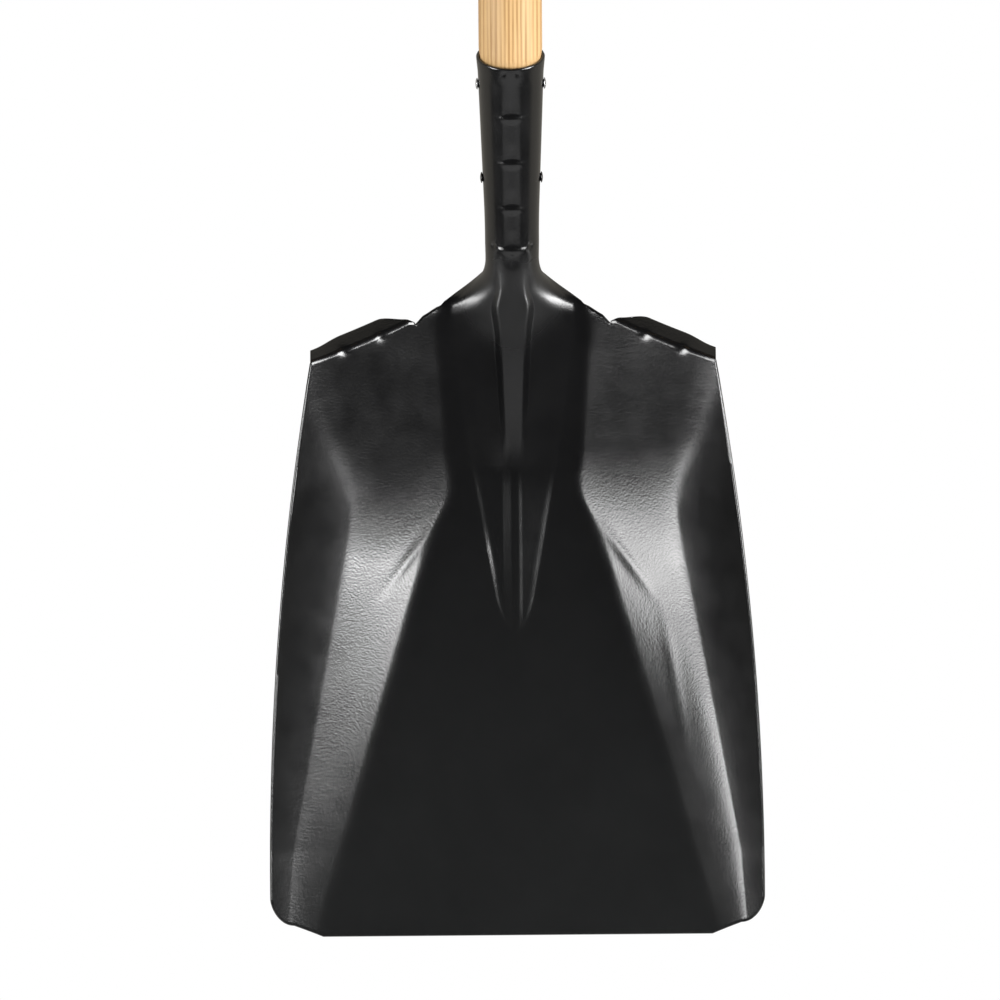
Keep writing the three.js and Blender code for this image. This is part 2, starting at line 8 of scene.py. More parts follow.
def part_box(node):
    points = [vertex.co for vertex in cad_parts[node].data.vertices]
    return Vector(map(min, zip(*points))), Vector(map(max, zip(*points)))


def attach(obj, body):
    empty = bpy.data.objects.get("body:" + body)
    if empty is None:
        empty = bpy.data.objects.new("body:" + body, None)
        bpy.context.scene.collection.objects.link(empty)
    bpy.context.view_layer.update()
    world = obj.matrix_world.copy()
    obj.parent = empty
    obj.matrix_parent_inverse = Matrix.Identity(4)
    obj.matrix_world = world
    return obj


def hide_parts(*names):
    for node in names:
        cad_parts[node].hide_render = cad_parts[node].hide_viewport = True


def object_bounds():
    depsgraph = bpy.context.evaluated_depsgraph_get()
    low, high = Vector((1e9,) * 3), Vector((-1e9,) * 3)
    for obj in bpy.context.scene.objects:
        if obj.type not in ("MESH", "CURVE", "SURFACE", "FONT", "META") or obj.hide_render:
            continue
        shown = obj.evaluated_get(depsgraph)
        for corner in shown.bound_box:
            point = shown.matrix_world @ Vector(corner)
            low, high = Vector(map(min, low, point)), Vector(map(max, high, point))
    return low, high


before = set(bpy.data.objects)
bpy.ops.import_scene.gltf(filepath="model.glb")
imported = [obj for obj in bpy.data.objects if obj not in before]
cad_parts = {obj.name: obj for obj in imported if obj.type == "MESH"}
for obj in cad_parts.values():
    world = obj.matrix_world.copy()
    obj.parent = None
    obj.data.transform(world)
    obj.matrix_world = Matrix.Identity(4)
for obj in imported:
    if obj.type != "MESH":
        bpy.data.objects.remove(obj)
cad_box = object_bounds()

# A grain scoop shovel: a pressed-steel scoop with an open-back socket, an ash shaft and a steel D-grip.
# Lengths are in millimetres, and each mesh is scaled to metres when it is placed.

MM = 0.001
LIFT = math.radians(26)

# ---- Where the socket is, from the CAD frame, measured along the handle ----

scoop_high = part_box("blade_socket")[1] / MM
SOCKET_LENGTH = 141.0
NECK_Z = scoop_high.z - SOCKET_LENGTH

# ---- The scoop's sheet: u across, v up from the cutting edge, d forward of the floor ----

SHEET = 1.9
SHEET_EDGE_RADIUS = 0.7

# The outline.
HALF_WIDTH = 145.7
WIDEST_V = 33.0
TOP_NARROWING = 27.2
NARROWING_LENGTH = 310
CUTTING_HALF = 115.0
CORNER_START = 133.0
CORNER_RISE = 18.0
CUT_BACK_SLOPE = 0.375
SHOULDER_INNER_U, SHOULDER_INNER_V = 57.5, 361.0
SHOULDER_OUTER_U, SHOULDER_OUTER_V = 118.9, 337.5

# The panels, from the floor out to the outer crease, and the wings above them.
PANEL_BEND_V = 258.0
PANEL_BEND_SOFT = 8.0
PANEL_INNER_U = 43.0
PANEL_SLOPE = 0.49
PANEL_TIP_SLOPE = 0.32
PANEL_FULL_SLOPE_V = 230.0
PANEL_SLOPE_SOFT = 0.2
PANEL_HOLLOW = 0.05
PANEL_CURL = 0.13
PANEL_CURL_POWER = 8
PANEL_FOOT_SOFT = 2.0
RIGHT_PANEL_FLATTER = 0.055
RIGHT_FLATTER_V, RIGHT_FLATTER_REACH = 130, 110
WING_RISE = 0.37

# The outer crease, as lines (v, u there, lean), and the side beyond it.
CREASE_LOWEST = (51, 132.2, -0.18)
CREASE_MIDDLE = (0, 136.2, -0.079)
CREASE_UPPER = (257, 94, 0.31)
CREASE_TURN_SOFT = 9
SIDE_FOLD_SLOPE = 0.71
SIDE_CURVE = 0.0095
SIDE_FOLD_SOFT, WING_FOLD_SOFT = 0.9, 12
WING_FOLD_V = (240, 310)

# The strips beside the frog.
STRIP_START_V = 265.0
STRIP_SLOPE = 0.4
STRIP_BEND_SOFT = 12

# The frog: its foot, its flanks, and the ridge with the groove in its lower half. Each spread of the
# ridge is the height where it begins, how softly, and how much it adds to the half-width above there.
FROG_START_V = 178.0
FROG_POINT = 24.0
FROG_TIP_HALF = 7.7
FROG_SPREAD = 0.175
FROG_NARROWING = 0.045
FROG_NARROWING_V, FROG_NARROWING_SOFT = 285, 15
FROG_EDGE_HEIGHT = 2.0
FOOT_WIDTH, FACET_WIDTH_MIN = 3.4, 0.1
FOOT_SLOPE = 0.28
LEFT_FOOT_STEEPER = 0.27
LEFT_FOOT_V, LEFT_FOOT_REACH = 206, 40
FLANK_WIDTH_MIN = 0.5
FLANK_LOW_SLOPE = 0.12
FLANK_HIGH_SLOPE = 0.2
FLANK_STEEPENING_V = (270, 350)
RIDGE_HALF = 5.6
RIDGE_SPREADS = [(278, 8, 0.045), (360, 6, 0.16)]
RIDGE_MOST_OF_FROG = 0.6
RIDGE_RISE_V, RIDGE_RISE_SOFT = 283.0, 8
RIDGE_RISE = 0.09
RIDGE_WALL, WALL_OUTSIDE_RIDGE = 3.0, 1
RIDGE_SHIFT = 1.1
LIP_SLOPE = 0.27
MOST_OF_CREST = 0.45
GROOVE_HALF = 2.1
GROOVE_MOST_OF_RIDGE = 0.5
GROOVE_SHIFT = 0.7
GROOVE_FADE_V = (270, 300)
FOOT_SOFT, FLANK_SOFT, LIP_SOFT, WALL_SOFT = 0.8, 0.5, 0.4, 0.6

# The neck and the socket; s runs along the handle from the neck.
NECK_AXIS_V = 392.0
NECK_AXIS_D = 49.5
NECK_ROLL_V = 371.0
NECK_EDGE_U = 44.5
NECK_TRIM = 0.2
FULL_TUBE_S = 8.0
SOCKET_RADIUS = 15.95
SOCKET_TAPER = 0.0355
SOCKET_TAPER_START, SOCKET_TAPER_SOFT = 34.0, 12
SOCKET_FLARE = 0.5
SOCKET_FLARE_LENGTH = 12
SEAM_ANGLE = math.radians(168)

# The panels' foot and the neck's edge above it, as (v, u): a column of points follows this line.
INNER_COLUMN = [(0, CUTTING_HALF), (PANEL_BEND_V, PANEL_INNER_U), (280, 41),
                (SHOULDER_INNER_V, SHOULDER_INNER_U), (366, 53), (NECK_ROLL_V, NECK_EDGE_U)]

# The steps along the shoulders: how far they stand up, and the fold that turns them back.
STEP_LENGTH, STEP_INNER_LENGTH = 13.3, 1.2
STEP_START_U, STEP_FULL_U = SHOULDER_INNER_U - 1, SHOULDER_INNER_U + 17
STEP_STRAIGHT_U = SHOULDER_OUTER_U - 24
STEP_TURN = math.radians(70)
STEP_FILLET = 2.6

# Creases stamped in the panels: start, end, half-width, and how far forward each stands.
PANEL_CREASES = [((-48.6, 241.6), (-80, 200), 3.0, -0.40),
                 ((50.5, 244.3), (85.5, 196.2), 3.0, -0.45),
                 ((85.5, 205), (102.4, 102.8), 3.5, -0.15),
                 ((-92, 352), (-70, 285), 6.0, -0.16)]
CREASE_FADE = 0.62

# Dimples pressed back where the steps begin.
DIMPLES_U = [78, 100]
DIMPLE_RISE = 0.4
DIMPLE_HALF_WIDTH, DIMPLE_HALF_HEIGHT, DIMPLE_DEPTH = 2.2, 2.0, 0.6

# The groove down the socket's front, and its distances from the bars where it fades in or turns shallow.
GROOVE_REACH, GROOVE_RIM, GROOVE_ROUNDING = 4.8, 1.02, 0.012
GROOVE_DEPTH, GROOVE_SHALLOW_SHARE = 1.6, 0.6
GROOVE_SHALLOW_ABOVE_BAR = (2, 14)
GROOVE_FADE_ABOVE_BAR, GROOVE_FADE_BELOW_BAR = (0.6, 2.4), (1.6, 4.5)
GROOVE_FADE_AT_NECK, GROOVE_FADE_AT_MOUTH = (7, 14), (118, 139)

# Bars across the groove: s, height and reach round the tube; each rises slowly and falls off fast.
SOCKET_BARS = [(108, 0.35, 6.5), (78, 0.35, 6.5), (48, 0.35, 6.0), (21, 0.35, 9.5), (7.5, 0.12, 6.0)]
BAR_RISE, BAR_FALL = (-3.2, 0), (0.2, 1.4)
BAR_END_SOFT = 3

# Dents on both sides of the groove: distance round the tube and s, their half-sizes, and the height.
SOCKET_DENTS = [(12.6, 22, 1.7, 1.6, -0.6), (3.9, 137.5, 1.0, 1.6, -0.5)]

# ---- The shaft and the grip, by height on the handle's axis ----

FIT_GAP = 0.35
SHAFT_RADIUS, SHAFT_TOP_RADIUS = 18.7, 17.2
SHAFT_END_Z = -88.0
SHAFT_END_ROUNDING, SHAFT_CORNER = 5, 4
SHAFT_SHOULDER_LENGTH = 4
SHAFT_TAPER_LENGTH, TAPER_TO_FERRULE = 84, 6
# The shaft's foot as (radius, s), and where in the socket it is slimmer than its seat by so much.
SHAFT_FOOT = [(0, -34), (4.5, -31), (8.3, 4)]
SHAFT_SLIM_S, SHAFT_SEAT_S = (26, 50, 90), (134, SOCKET_LENGTH)
SHAFT_SLIMMER = 1.2

YOKE_SHEET = 2.2
FERRULE_BOTTOM, FERRULE_TOP, FERRULE_RADIUS = -158.0, -104.0, 19.9
YOKE_RADIUS = FERRULE_RADIUS - YOKE_SHEET / 2
EAR_X, EAR_RADIUS = 52.0, 16.5
EAR_LAST_TURN = 1.45
ARM_TURN, EAR_TURN = 1.3, 0.01
ARM_WAIST = 14
# Between which heights an arm spreads, narrows to its waist, turns flat and widens to its ear.
ARM_SPREAD_Z, ARM_WAIST_Z, EAR_FLAT_Z = (FERRULE_TOP, -34), (FERRULE_TOP, -52), (FERRULE_TOP, -8)
EAR_WIDENING_Z = (-42, -4)

BAR_RADIUS, BAR_END_RADIUS = 15.5, 14.2
BAR_END_CHAMFER, BAR_CORNER = 1.5, 1.2
BARREL_SHARE = 0.96

RIVET_RADIUS = 2.4
HEAD_EDGE, HEAD_EDGE_INSET = 0.25, 0.15
HEAD_FLAT_TOP = 0.02
# Where the rivets are, and the radius and dome of each head.
SOCKET_RIVETS_S = {"upper": 122.5, "lower": 61.4}
SOCKET_HEADS = {"upper": (3.4, 1.3), "lower": (3.3, 1.2)}
YOKE_RIVETS_Z = {"upper": -116, "lower": -144}
YOKE_HEAD, GRIP_HEAD = (4.2, 1.8), (7.5, 4)
GRIP_ROD_RADIUS = 4.0
WASHER_RADIUS, WASHER_THICKNESS, WASHER_ROUNDING = 10.5, 1.6, 0.3

# ---- How finely the meshes are divided ----

BAND_COLUMNS = [18, 26, 14, 44, 26]
COLUMN_CROWDING = 0.6
FROG_BANDS = sum(BAND_COLUMNS[:3])
HALF_COLUMNS = sum(BAND_COLUMNS)
FROG_COLUMN_MIN, SIDE_COLUMN_MIN = 10, 4
PLATE_ROWS, PLATE_ROW_CROWDING = 200, 1.2
NECK_PLATE_ROWS, NECK_EASE_ROWS = 18, 44
FLAT_NECK_ROWS, ROLL_ROWS, TUBE_ROWS = 6, 24, 160
ROLL_HEAD_START = 0.15
STEP_PIECES = 12
STEP_SHARES = [0.04, 0.08, 0.13, 0.18, 0.24, 0.32, 0.45, 0.6, 0.75, 0.9, 1]
EDGE_STEPS = 4
ARM_COLUMNS, GAP_COLUMNS = 28, 8
FERRULE_ROWS, ARM_ROWS, EAR_ROWS = 30, 79, 21
WOOD_SEGMENTS, WASHER_SEGMENTS, RIVET_SEGMENTS = 96, 64, 40
CORNER_STEPS, SIDES_PER_CORNER = 4, 2.2

# How much of the tube's turn, from its front to its seam, each band of the frog's columns ends at.
TUBE_TURNS = np.array([0, 0.21, 0.86, 1])

# Easing the neck: its passes and strength, and the columns and rows over which it grows.
EASE_PASSES, EASE_STRENGTH = 12, 0.5
EASE_GROWTH_ALONG = 5
EASE_EDGE_COLUMNS, EASE_RIDGE_COLUMNS, EASE_FLANK_COLUMNS = 12, 3, 8

# ---- Looks: colours, the enamel's duller places in metres, bumps as (metres, strength) ----

# The second enamel colour and its share are painted light: a lighter tone toward the tip that stands in for
# light falling there from below.
ENAMEL, LIT_TIP_ENAMEL = (0.0026, 0.0026, 0.0028), (0.0080, 0.0083, 0.0083)
ENAMEL_IOR = 1.75
LIT_TIP_SHARE = 0.75
DULL_BELOW_NECK = 0.014
DULL_WHOLE, DULL_GONE = 0.012, 0.040
DULL_ROUGHER = 0.18
CLOUDS_PER_METRE, SPECKLES_PER_METRE, PEEL_PER_METRE = 9, 60, 800
PEEL = (0.0003, 0.2)

FIBRE_STRETCH, BAND_STRETCH = 0.018, 0.05
STREAKS_PER_METRE, PATCHES_PER_METRE, PORES_PER_METRE = 520, 60, 1500
STREAKS = (0.0002, 0.35)
EARLY_WOOD, LATE_WOOD = (0.50, 0.325, 0.145), (0.33, 0.185, 0.068)
PALE_FIBRE, BROWN_PATCH, DARK_PORE = (0.56, 0.375, 0.185), (0.42, 0.235, 0.092), (0.22, 0.11, 0.04)

DULL_STEEL, CLEAN_STEEL = (0.50, 0.51, 0.53), (0.70, 0.70, 0.71)
SPOTS_PER_METRE, GRAIN_PER_METRE = 900, 2500
GRAIN = (0.0001, 0.3)

# ---- The stage: camera and floor in metres, lights' ends along the scoop in millimetres ----

CAMERA_DISTANCE, CAMERA_CLIP = 20.0, 50
VIEW_WIDTH = 0.59
AIM_U, AIM_V, AIM_D = -8.4, 257.2, 30
CAMERA_ROLL = math.radians(-0.49)

# Each light: degrees to the side, distance, width, lower and upper end, radiance.
LIGHTS = {"softbox_left": (-54, 1.4, 0.50, -320, 1000, 7.4),
          "softbox_right": (53, 1.4, 0.60, -150, 1000, 11.0),
          "strip_left": (-59.5, 1.35, 0.16, -190, 900, 7.0),
          "strip_right": (59.5, 1.35, 0.14, -90, 900, 16.0)}
LIGHTS_AIM_D = 20

# The surroundings: cosines of the angle from the camera and from the scoop's tip end, and their colours.
DARK, WARM_GREY, PALE_GREY = (0.022, 0.022, 0.022), (0.36, 0.34, 0.30), (0.50, 0.50, 0.50)
BEHIND_SCOOP = [(-0.13, WARM_GREY), (0.04, DARK)]
BELOW = [(0.755, DARK), (0.83, PALE_GREY)]
WHITE, FLOOR_WHITE = (1, 1, 1, 1), (0.8, 0.8, 0.8, 1)
FLOOR_HALF_SIZE, FLOOR_GAP = 6.0, 0.004


def lerp(a, b, t):
    return a + (b - a) * t


def smoothstep(x, low, high):
    t = np.clip((x - low) / (high - low), 0, 1)
    return t * t * (3 - 2 * t)


def bump(x, centre, half):
    """1 at the centre, easing to 0 at centre +- half."""
    t = np.clip(1 - np.abs((x - centre) / half), 0, 1)
    return t * t * (3 - 2 * t)


def knee(x, at, soft):
    """Flat before at, slope 1 after it, rounded over +-soft."""
    x = x - at
    return np.where(x <= -soft, 0, np.where(x >= soft, x, (x + soft) ** 2 / (4 * soft)))


def soft_max(a, b, soft):
    return b + knee(a - b, 0, soft)


def soft_min(a, b, soft):
    return -soft_max(-a, -b, soft)


def edge_line(v):
    return HALF_WIDTH - TOP_NARROWING * ((v - WIDEST_V) / NARROWING_LENGTH) ** 2


def inner_line(v):
    return lerp(CUTTING_HALF, PANEL_INNER_U, v / PANEL_BEND_V)


def on_line(v, line):
    at, u, lean = line
    return u + lean * (v - at)


def outer_line(v):
    """The outer crease leans in from the tip, then out again to the shoulder."""
    leaning_in = np.minimum(on_line(v, CREASE_LOWEST), on_line(v, CREASE_MIDDLE))
    return soft_max(leaning_in, on_line(v, CREASE_UPPER), CREASE_TURN_SOFT)


def frog_top_half(v):
    return RIDGE_HALF + sum(spread * knee(v, at, soft) for at, soft, spread in RIDGE_SPREADS)


def point_rounding(v):
    rise = np.clip((v - FROG_START_V) / FROG_POINT, 0, 1)
    return np.sqrt(rise * (2 - rise))


def frog_base_half(v):
    """The frog's half-width at its foot: straight sides with a rounded point at the bottom."""
    narrowing = FROG_NARROWING * knee(v, FROG_NARROWING_V, FROG_NARROWING_SOFT)
    straight = FROG_TIP_HALF + (FROG_SPREAD * (v - FROG_START_V) - narrowing)
    return straight * point_rounding(v)


def tip_line(u):
    straight = CUT_BACK_SLOPE * np.maximum(0, np.minimum(u, CORNER_START) - CUTTING_HALF)
    across = np.clip((u - CORNER_START) / (HALF_WIDTH - CORNER_START), 0, 1)
    return straight + CORNER_RISE * (1 - np.sqrt(1 - across * across))


def shoulder_line(u):
    across = (u - SHOULDER_INNER_U) / (SHOULDER_OUTER_U - SHOULDER_INNER_U)
    return lerp(SHOULDER_INNER_V, SHOULDER_OUTER_V, np.maximum(across, 0))


def column_lines(v):
    """The half-widths that the columns of the sheet follow at height v."""
    frog_base = np.maximum(frog_base_half(v), FROG_COLUMN_MIN)
    edge = edge_line(v)
    outer = np.minimum(outer_line(v), edge - SIDE_COLUMN_MIN)
    inner = np.interp(v, *zip(*INNER_COLUMN))
    return [np.zeros_like(edge), frog_top_half(v), frog_base, inner, outer, edge]


def strip_height(v):
    return STRIP_SLOPE * knee(v, STRIP_START_V, STRIP_BEND_SOFT)


def facet(depth, width, soft):
    """How far into a facet of the given width a point lies, eased at both sides."""
    return knee(depth, 0, soft) - knee(depth, width, soft)


def ridge_and_groove(left, base, v):
    """Half-widths of the ridge, set a little to the left low down, and of its groove, set to the right."""
    shifted = 1 - smoothstep(v, *GROOVE_FADE_V)
    ridge = frog_top_half(v) + np.where(left, RIDGE_SHIFT, -RIDGE_SHIFT) * shifted
    ridge = np.minimum(ridge, RIDGE_MOST_OF_FROG * base)
    groove = GROOVE_HALF + np.where(left, -GROOVE_SHIFT, GROOVE_SHIFT)
    return ridge, np.minimum(groove, GROOVE_MOST_OF_RIDGE * ridge)


def frog_height(signed_u, v):
    """The frog above the strips: a foot facet, a flank, and the ridge with its groove or its walls."""
    u = np.abs(signed_u)
    left = signed_u < 0
    base = frog_base_half(v)
    point = np.clip(base / (FROG_TIP_HALF + 2 * FOOT_WIDTH), 0, 1)
    ridge, groove = ridge_and_groove(left, base, v)
    foot_width = np.maximum(FOOT_WIDTH * point, FACET_WIDTH_MIN)
    steeper = LEFT_FOOT_STEEPER * bump(v, LEFT_FOOT_V, LEFT_FOOT_REACH)
    foot_slope = FOOT_SLOPE + np.where(left, steeper, 0)
    flank_width = np.maximum(base - foot_width - ridge, FLANK_WIDTH_MIN)
    flank_slope = lerp(FLANK_LOW_SLOPE, FLANK_HIGH_SLOPE, smoothstep(v, *FLANK_STEEPENING_V))
    unshifted_width = np.maximum(base - foot_width - frog_top_half(v), FLANK_WIDTH_MIN)
    crest = point * (FROG_EDGE_HEIGHT + flank_slope * unshifted_width)
    foot_rise = np.minimum(foot_slope * foot_width, MOST_OF_CREST * crest)
    lip_rise = np.minimum(LIP_SLOPE * (ridge - groove), MOST_OF_CREST * crest)
    lip_rise = lip_rise * (1 - smoothstep(v, *GROOVE_FADE_V))
    flank_rise = crest - foot_rise - lip_rise
    wall_rise = RIDGE_RISE * knee(v, RIDGE_RISE_V, RIDGE_RISE_SOFT)
    foot = foot_rise * facet(base - u, foot_width, FOOT_SOFT) / foot_width
    flank = flank_rise * facet(base - foot_width - u, flank_width, FLANK_SOFT) / flank_width
    lip = lip_rise * facet(ridge - u, ridge - groove, LIP_SOFT) / np.maximum(ridge - groove, FACET_WIDTH_MIN)
    wall = wall_rise * facet(ridge + WALL_OUTSIDE_RIDGE - u, RIDGE_WALL, WALL_SOFT) / RIDGE_WALL
    return foot + flank + lip + wall


def panel_height(signed_u, u, v):
    """The panel, a little hollow and curled up at its crease, and its wing bent forward near the shoulder."""
    inner = inner_line(v)
    width = outer_line(v) - inner
    x = (u - inner) / width
    slope = lerp(PANEL_TIP_SLOPE, PANEL_SLOPE, soft_min(v / PANEL_FULL_SLOPE_V, 1, PANEL_SLOPE_SOFT))
    flatter = RIGHT_PANEL_FLATTER * bump(v, RIGHT_FLATTER_V, RIGHT_FLATTER_REACH)
    slope = slope - np.where(signed_u > 0, flatter, 0)
    across = np.maximum(x, 0)
    curl = PANEL_CURL / PANEL_CURL_POWER * across ** PANEL_CURL_POWER
    lower = width * ((slope - PANEL_HOLLOW) * x + PANEL_HOLLOW * across ** 2 + curl)
    upper = PANEL_SLOPE * (u - PANEL_INNER_U) + WING_RISE * (v - PANEL_BEND_V)
    return soft_max(lower, upper, PANEL_BEND_SOFT)


def sheet_height(signed_u, v):
    """Height of the mid-surface: strips and panels, the side beyond the outer crease, and the frog."""
    u = np.abs(signed_u)
    crease = outer_line(v)
    inside = panel_height(signed_u, np.minimum(u, crease), v)
    slope = panel_height(signed_u, crease, v) - panel_height(signed_u, crease - 1, v)
    outside = np.maximum(0, u - crease)
    soft = lerp(SIDE_FOLD_SOFT, WING_FOLD_SOFT, smoothstep(v, *WING_FOLD_V))
    fold = (SIDE_FOLD_SLOPE - slope) * (knee(u - crease, 0, soft) - soft / 4)
    beyond = slope * outside + fold + SIDE_CURVE / 2 * outside ** 2
    hollow = soft_max(inside, strip_height(v), PANEL_FOOT_SOFT)
    return hollow + beyond + frog_height(signed_u, v)


# ---- Columns of the mid-surface ----


def bands(columns):
    """For each column, which band it lies in and how far across that band it is."""
    ends = np.cumsum([0] + BAND_COLUMNS)
    count = np.abs(columns)
    band = np.clip(np.searchsorted(ends, count, side="left") - 1, 0, len(BAND_COLUMNS) - 1)
    part = (count - ends[band]) / np.array(BAND_COLUMNS)[band]
    return band, lerp(part, part * part * (3 - 2 * part), COLUMN_CROWDING)


def column_u(columns, v):
    band, part = bands(columns)
    lines = np.array(column_lines(v))
    picked = np.arange(len(columns))
    return np.sign(columns) * lerp(lines[band, picked], lines[band + 1, picked], part)


def plate_row(columns, v):
    """Points of the plate at one height per column, as rows of (u, -d, v)."""
    u = column_u(columns, v)
    return np.stack([u, -sheet_height(u, v), v], axis=1)


def axis_point(s):
    return np.array([0, -(NECK_AXIS_D + s * math.sin(LIFT)), NECK_AXIS_V + s * math.cos(LIFT)])


def socket_radius(s):
    flare = SOCKET_FLARE * smoothstep(s, SOCKET_LENGTH - SOCKET_FLARE_LENGTH, SOCKET_LENGTH)
    return SOCKET_RADIUS + SOCKET_TAPER * knee(s, SOCKET_TAPER_START, SOCKET_TAPER_SOFT) + flare


def tube_angle(columns):
    """The angle round the tube, from its front, where each of the frog's columns ends up."""
    band, part = bands(columns)
    return SEAM_ANGLE * lerp(TUBE_TURNS[band], TUBE_TURNS[band + 1], part)


def rolled_row(s, roll):
    """A row of the neck, rolled from the plate's section to the tube's as roll goes from 0 to 1."""
    columns = np.arange(FROG_BANDS + 1)
    radius = float(socket_radius(s)) - SHEET / 2
    flat = np.diff(plate_row(columns, np.full(len(columns), NECK_ROLL_V)), axis=0)
    angle = tube_angle(columns)
    round_length = 2 * radius * np.sin(np.diff(angle) / 2)
    round_heading = (angle[1:] + angle[:-1]) / 2
    trim = 1 - NECK_TRIM * math.sin(math.pi * roll)
    length = trim * lerp(np.linalg.norm(flat, axis=1), round_length, roll)
    heading = lerp(np.arctan2(flat[:, 1], flat[:, 0]), round_heading, roll)
    across = np.concatenate([[0], np.cumsum(length * np.cos(heading))])
    behind = np.concatenate([[0], np.cumsum(length * np.sin(heading))])
    front = axis_point(s) + radius * np.array([0, -math.cos(LIFT), -math.sin(LIFT)])
    tilt = LIFT * roll
    half = np.stack([across, front[1] + behind * math.cos(tilt), front[2] + behind * math.sin(tilt)], axis=1)
    mirrored = half[:0:-1] * [-1, 1, 1]
    return np.concatenate([mirrored, half])


# ---- Turning mid-surfaces into closed sheets with rounded edges ----


def unit_rows(vectors):
    """Each row at length 1; a row of zeros stays as it is."""
    return vectors / np.maximum(np.linalg.norm(vectors, axis=1, keepdims=True), 1e-12)


def smooth_mesh(name, verts, faces):
    mesh = bpy.data.meshes.new(name)
    mesh.from_pydata(verts, [], [tuple(int(i) for i in face) for face in faces])
    mesh.update()
    for polygon in mesh.polygons:
        polygon.use_smooth = True
    return mesh


class Sheet:
    """Rows of points on a sheet's mid-surface, and the quads between them."""

    def __init__(self):
        self.points = []
        self.relief = []
        self.quads = []

    def add_row(self, row, relief=None):
        """Adds a row of points; relief is how far each is then pressed forward."""
        first = len(self.points)
        self.points.extend(row)
        self.relief.extend(np.zeros(len(row)) if relief is None else relief)
        return np.arange(first, first + len(row))

    def join(self, lower, upper):
        for i in range(len(upper) - 1):
            self.quads.append((lower[i], lower[i + 1], upper[i + 1], upper[i]))

    def extend(self, lower, rows):
        """Adds rows of (points, relief) one above another from the lower row on, and returns them."""
        added = []
        for points, relief in rows:
            upper = self.add_row(points, relief)
            self.join(lower, upper)
            added.append(upper)
            lower = upper
        return added

    def normals(self, points):
        quads = np.array(self.quads)
        corners = [points[quads[:, corner]] for corner in range(4)]
        face = unit_rows(np.cross(corners[2] - corners[0], corners[3] - corners[1]))
        normals = np.zeros_like(points)
        for corner in range(4):
            np.add.at(normals, quads[:, corner], face)
        return unit_rows(normals)

    def rim(self):
        """The edges that only one quad has."""
        edges = {}
        for quad in self.quads:
            for corner in range(4):
                start, end = quad[corner], quad[(corner + 1) % 4]
                if edges.pop((end, start), None) is None:
                    edges[(start, end)] = True
        return list(edges)

    def mesh(self, name, thickness):
        """The closed sheet of this thickness, with its relief pressed in and its rim rounded."""
        points = np.array(self.points)
        points = points + self.normals(points) * np.array(self.relief)[:, None]
        normals = self.normals(points)
        rim = self.rim()
        outward = away_from_sheet(points, normals, rim) * SHEET_EDGE_RADIUS
        inset = points - outward
        forward = normals * thickness / 2
        count = len(points)
        faces = [tuple(quad) for quad in self.quads]
        faces += [(d + count, c + count, b + count, a + count) for a, b, c, d in self.quads]
        edge, edge_faces = rounded_edge(inset, forward, outward, rim)
        verts = np.concatenate([inset + forward, inset - forward, edge])
        return smooth_mesh(name, verts.tolist(), faces + edge_faces)


def away_from_sheet(points, normals, rim):
    """At each point of the rim, the direction in the sheet's plane that leads off it; elsewhere zeros."""
    outward = np.zeros_like(points)
    for start, end in rim:
        side = np.cross(points[end] - points[start], normals[start])
        side /= max(np.linalg.norm(side), 1e-9)
        outward[start] += side
        outward[end] += side
    return unit_rows(outward)


def rounded_edge(inset, forward, outward, rim):
    """Points of a half-round from the front face to the back along the rim, and the quads they make."""
    count = len(inset)
    points, rings = [], {}
    for start, _ in rim:
        ring = [start]
        for step in range(1, EDGE_STEPS):
            turn = math.pi * step / EDGE_STEPS
            points.append(inset[start] + forward[start] * math.cos(turn) + outward[start] * math.sin(turn))
            ring.append(2 * count + len(points) - 1)
        rings[start] = ring + [start + count]
    faces = [(rings[end][step], rings[start][step], rings[start][step + 1], rings[end][step + 1])
             for start, end in rim for step in range(EDGE_STEPS)]
    return points, faces


def new_piece(name, mesh, material, node):
    mesh.materials.append(material)
    piece = bpy.data.objects.new(name, mesh)
    bpy.context.scene.collection.objects.link(piece)
    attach(piece, "root")
    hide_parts(node)


# ---- The scoop ----


def step_directions():
    """The wing's normal, and the direction in the wing that leads up from the shoulder's line."""
    wing_normal = np.array([-PANEL_SLOPE, -1, -WING_RISE])
    wing_normal /= np.linalg.norm(wing_normal)
    du = SHOULDER_OUTER_U - SHOULDER_INNER_U
    dv = SHOULDER_OUTER_V - SHOULDER_INNER_V
    along = np.array([du, -(PANEL_SLOPE * du + WING_RISE * dv), dv])
    upward = np.cross(along / np.linalg.norm(along), wing_normal)
    return wing_normal, upward * np.sign(upward[2])


def step_points(feet, share, side):
    """Points of the step's turned-back flange above each foot, a share of its full reach away."""
    wing_normal, upward = step_directions()
    u = np.abs(feet[:, 0])
    length = lerp(STEP_INNER_LENGTH, STEP_LENGTH, smoothstep(u, STEP_START_U, STEP_FULL_U))
    reach = share * length
    points = feet * [side, 1, 1]
    for piece in range(STEP_PIECES):
        turn = STEP_TURN * np.minimum(1, reach * (piece + 0.5) / STEP_PIECES / STEP_FILLET)
        points = points + np.outer(np.cos(turn) * reach / STEP_PIECES, upward)
        points = points - np.outer(np.sin(turn) * reach / STEP_PIECES, wing_normal)
    points[:, 0] = lerp(points[:, 0], u, smoothstep(u, STEP_STRAIGHT_U, SHOULDER_OUTER_U))
    return points * [side, 1, 1]


def ripple(u, v, start, end, width):
    """1 along a straight line between two points, fading sideways and toward both ends."""
    du, dv = end[0] - start[0], end[1] - start[1]
    length = math.hypot(du, dv)
    along = ((u - start[0]) * du + (v - start[1]) * dv) / length / length
    aside = ((u - start[0]) * dv - (v - start[1]) * du) / length
    return np.exp(-(aside / width) ** 2) * bump(along, 0.5, CREASE_FADE)


def hump(x, y, half_x, half_y):
    return np.exp(-(x / half_x) ** 2 - (y / half_y) ** 2)


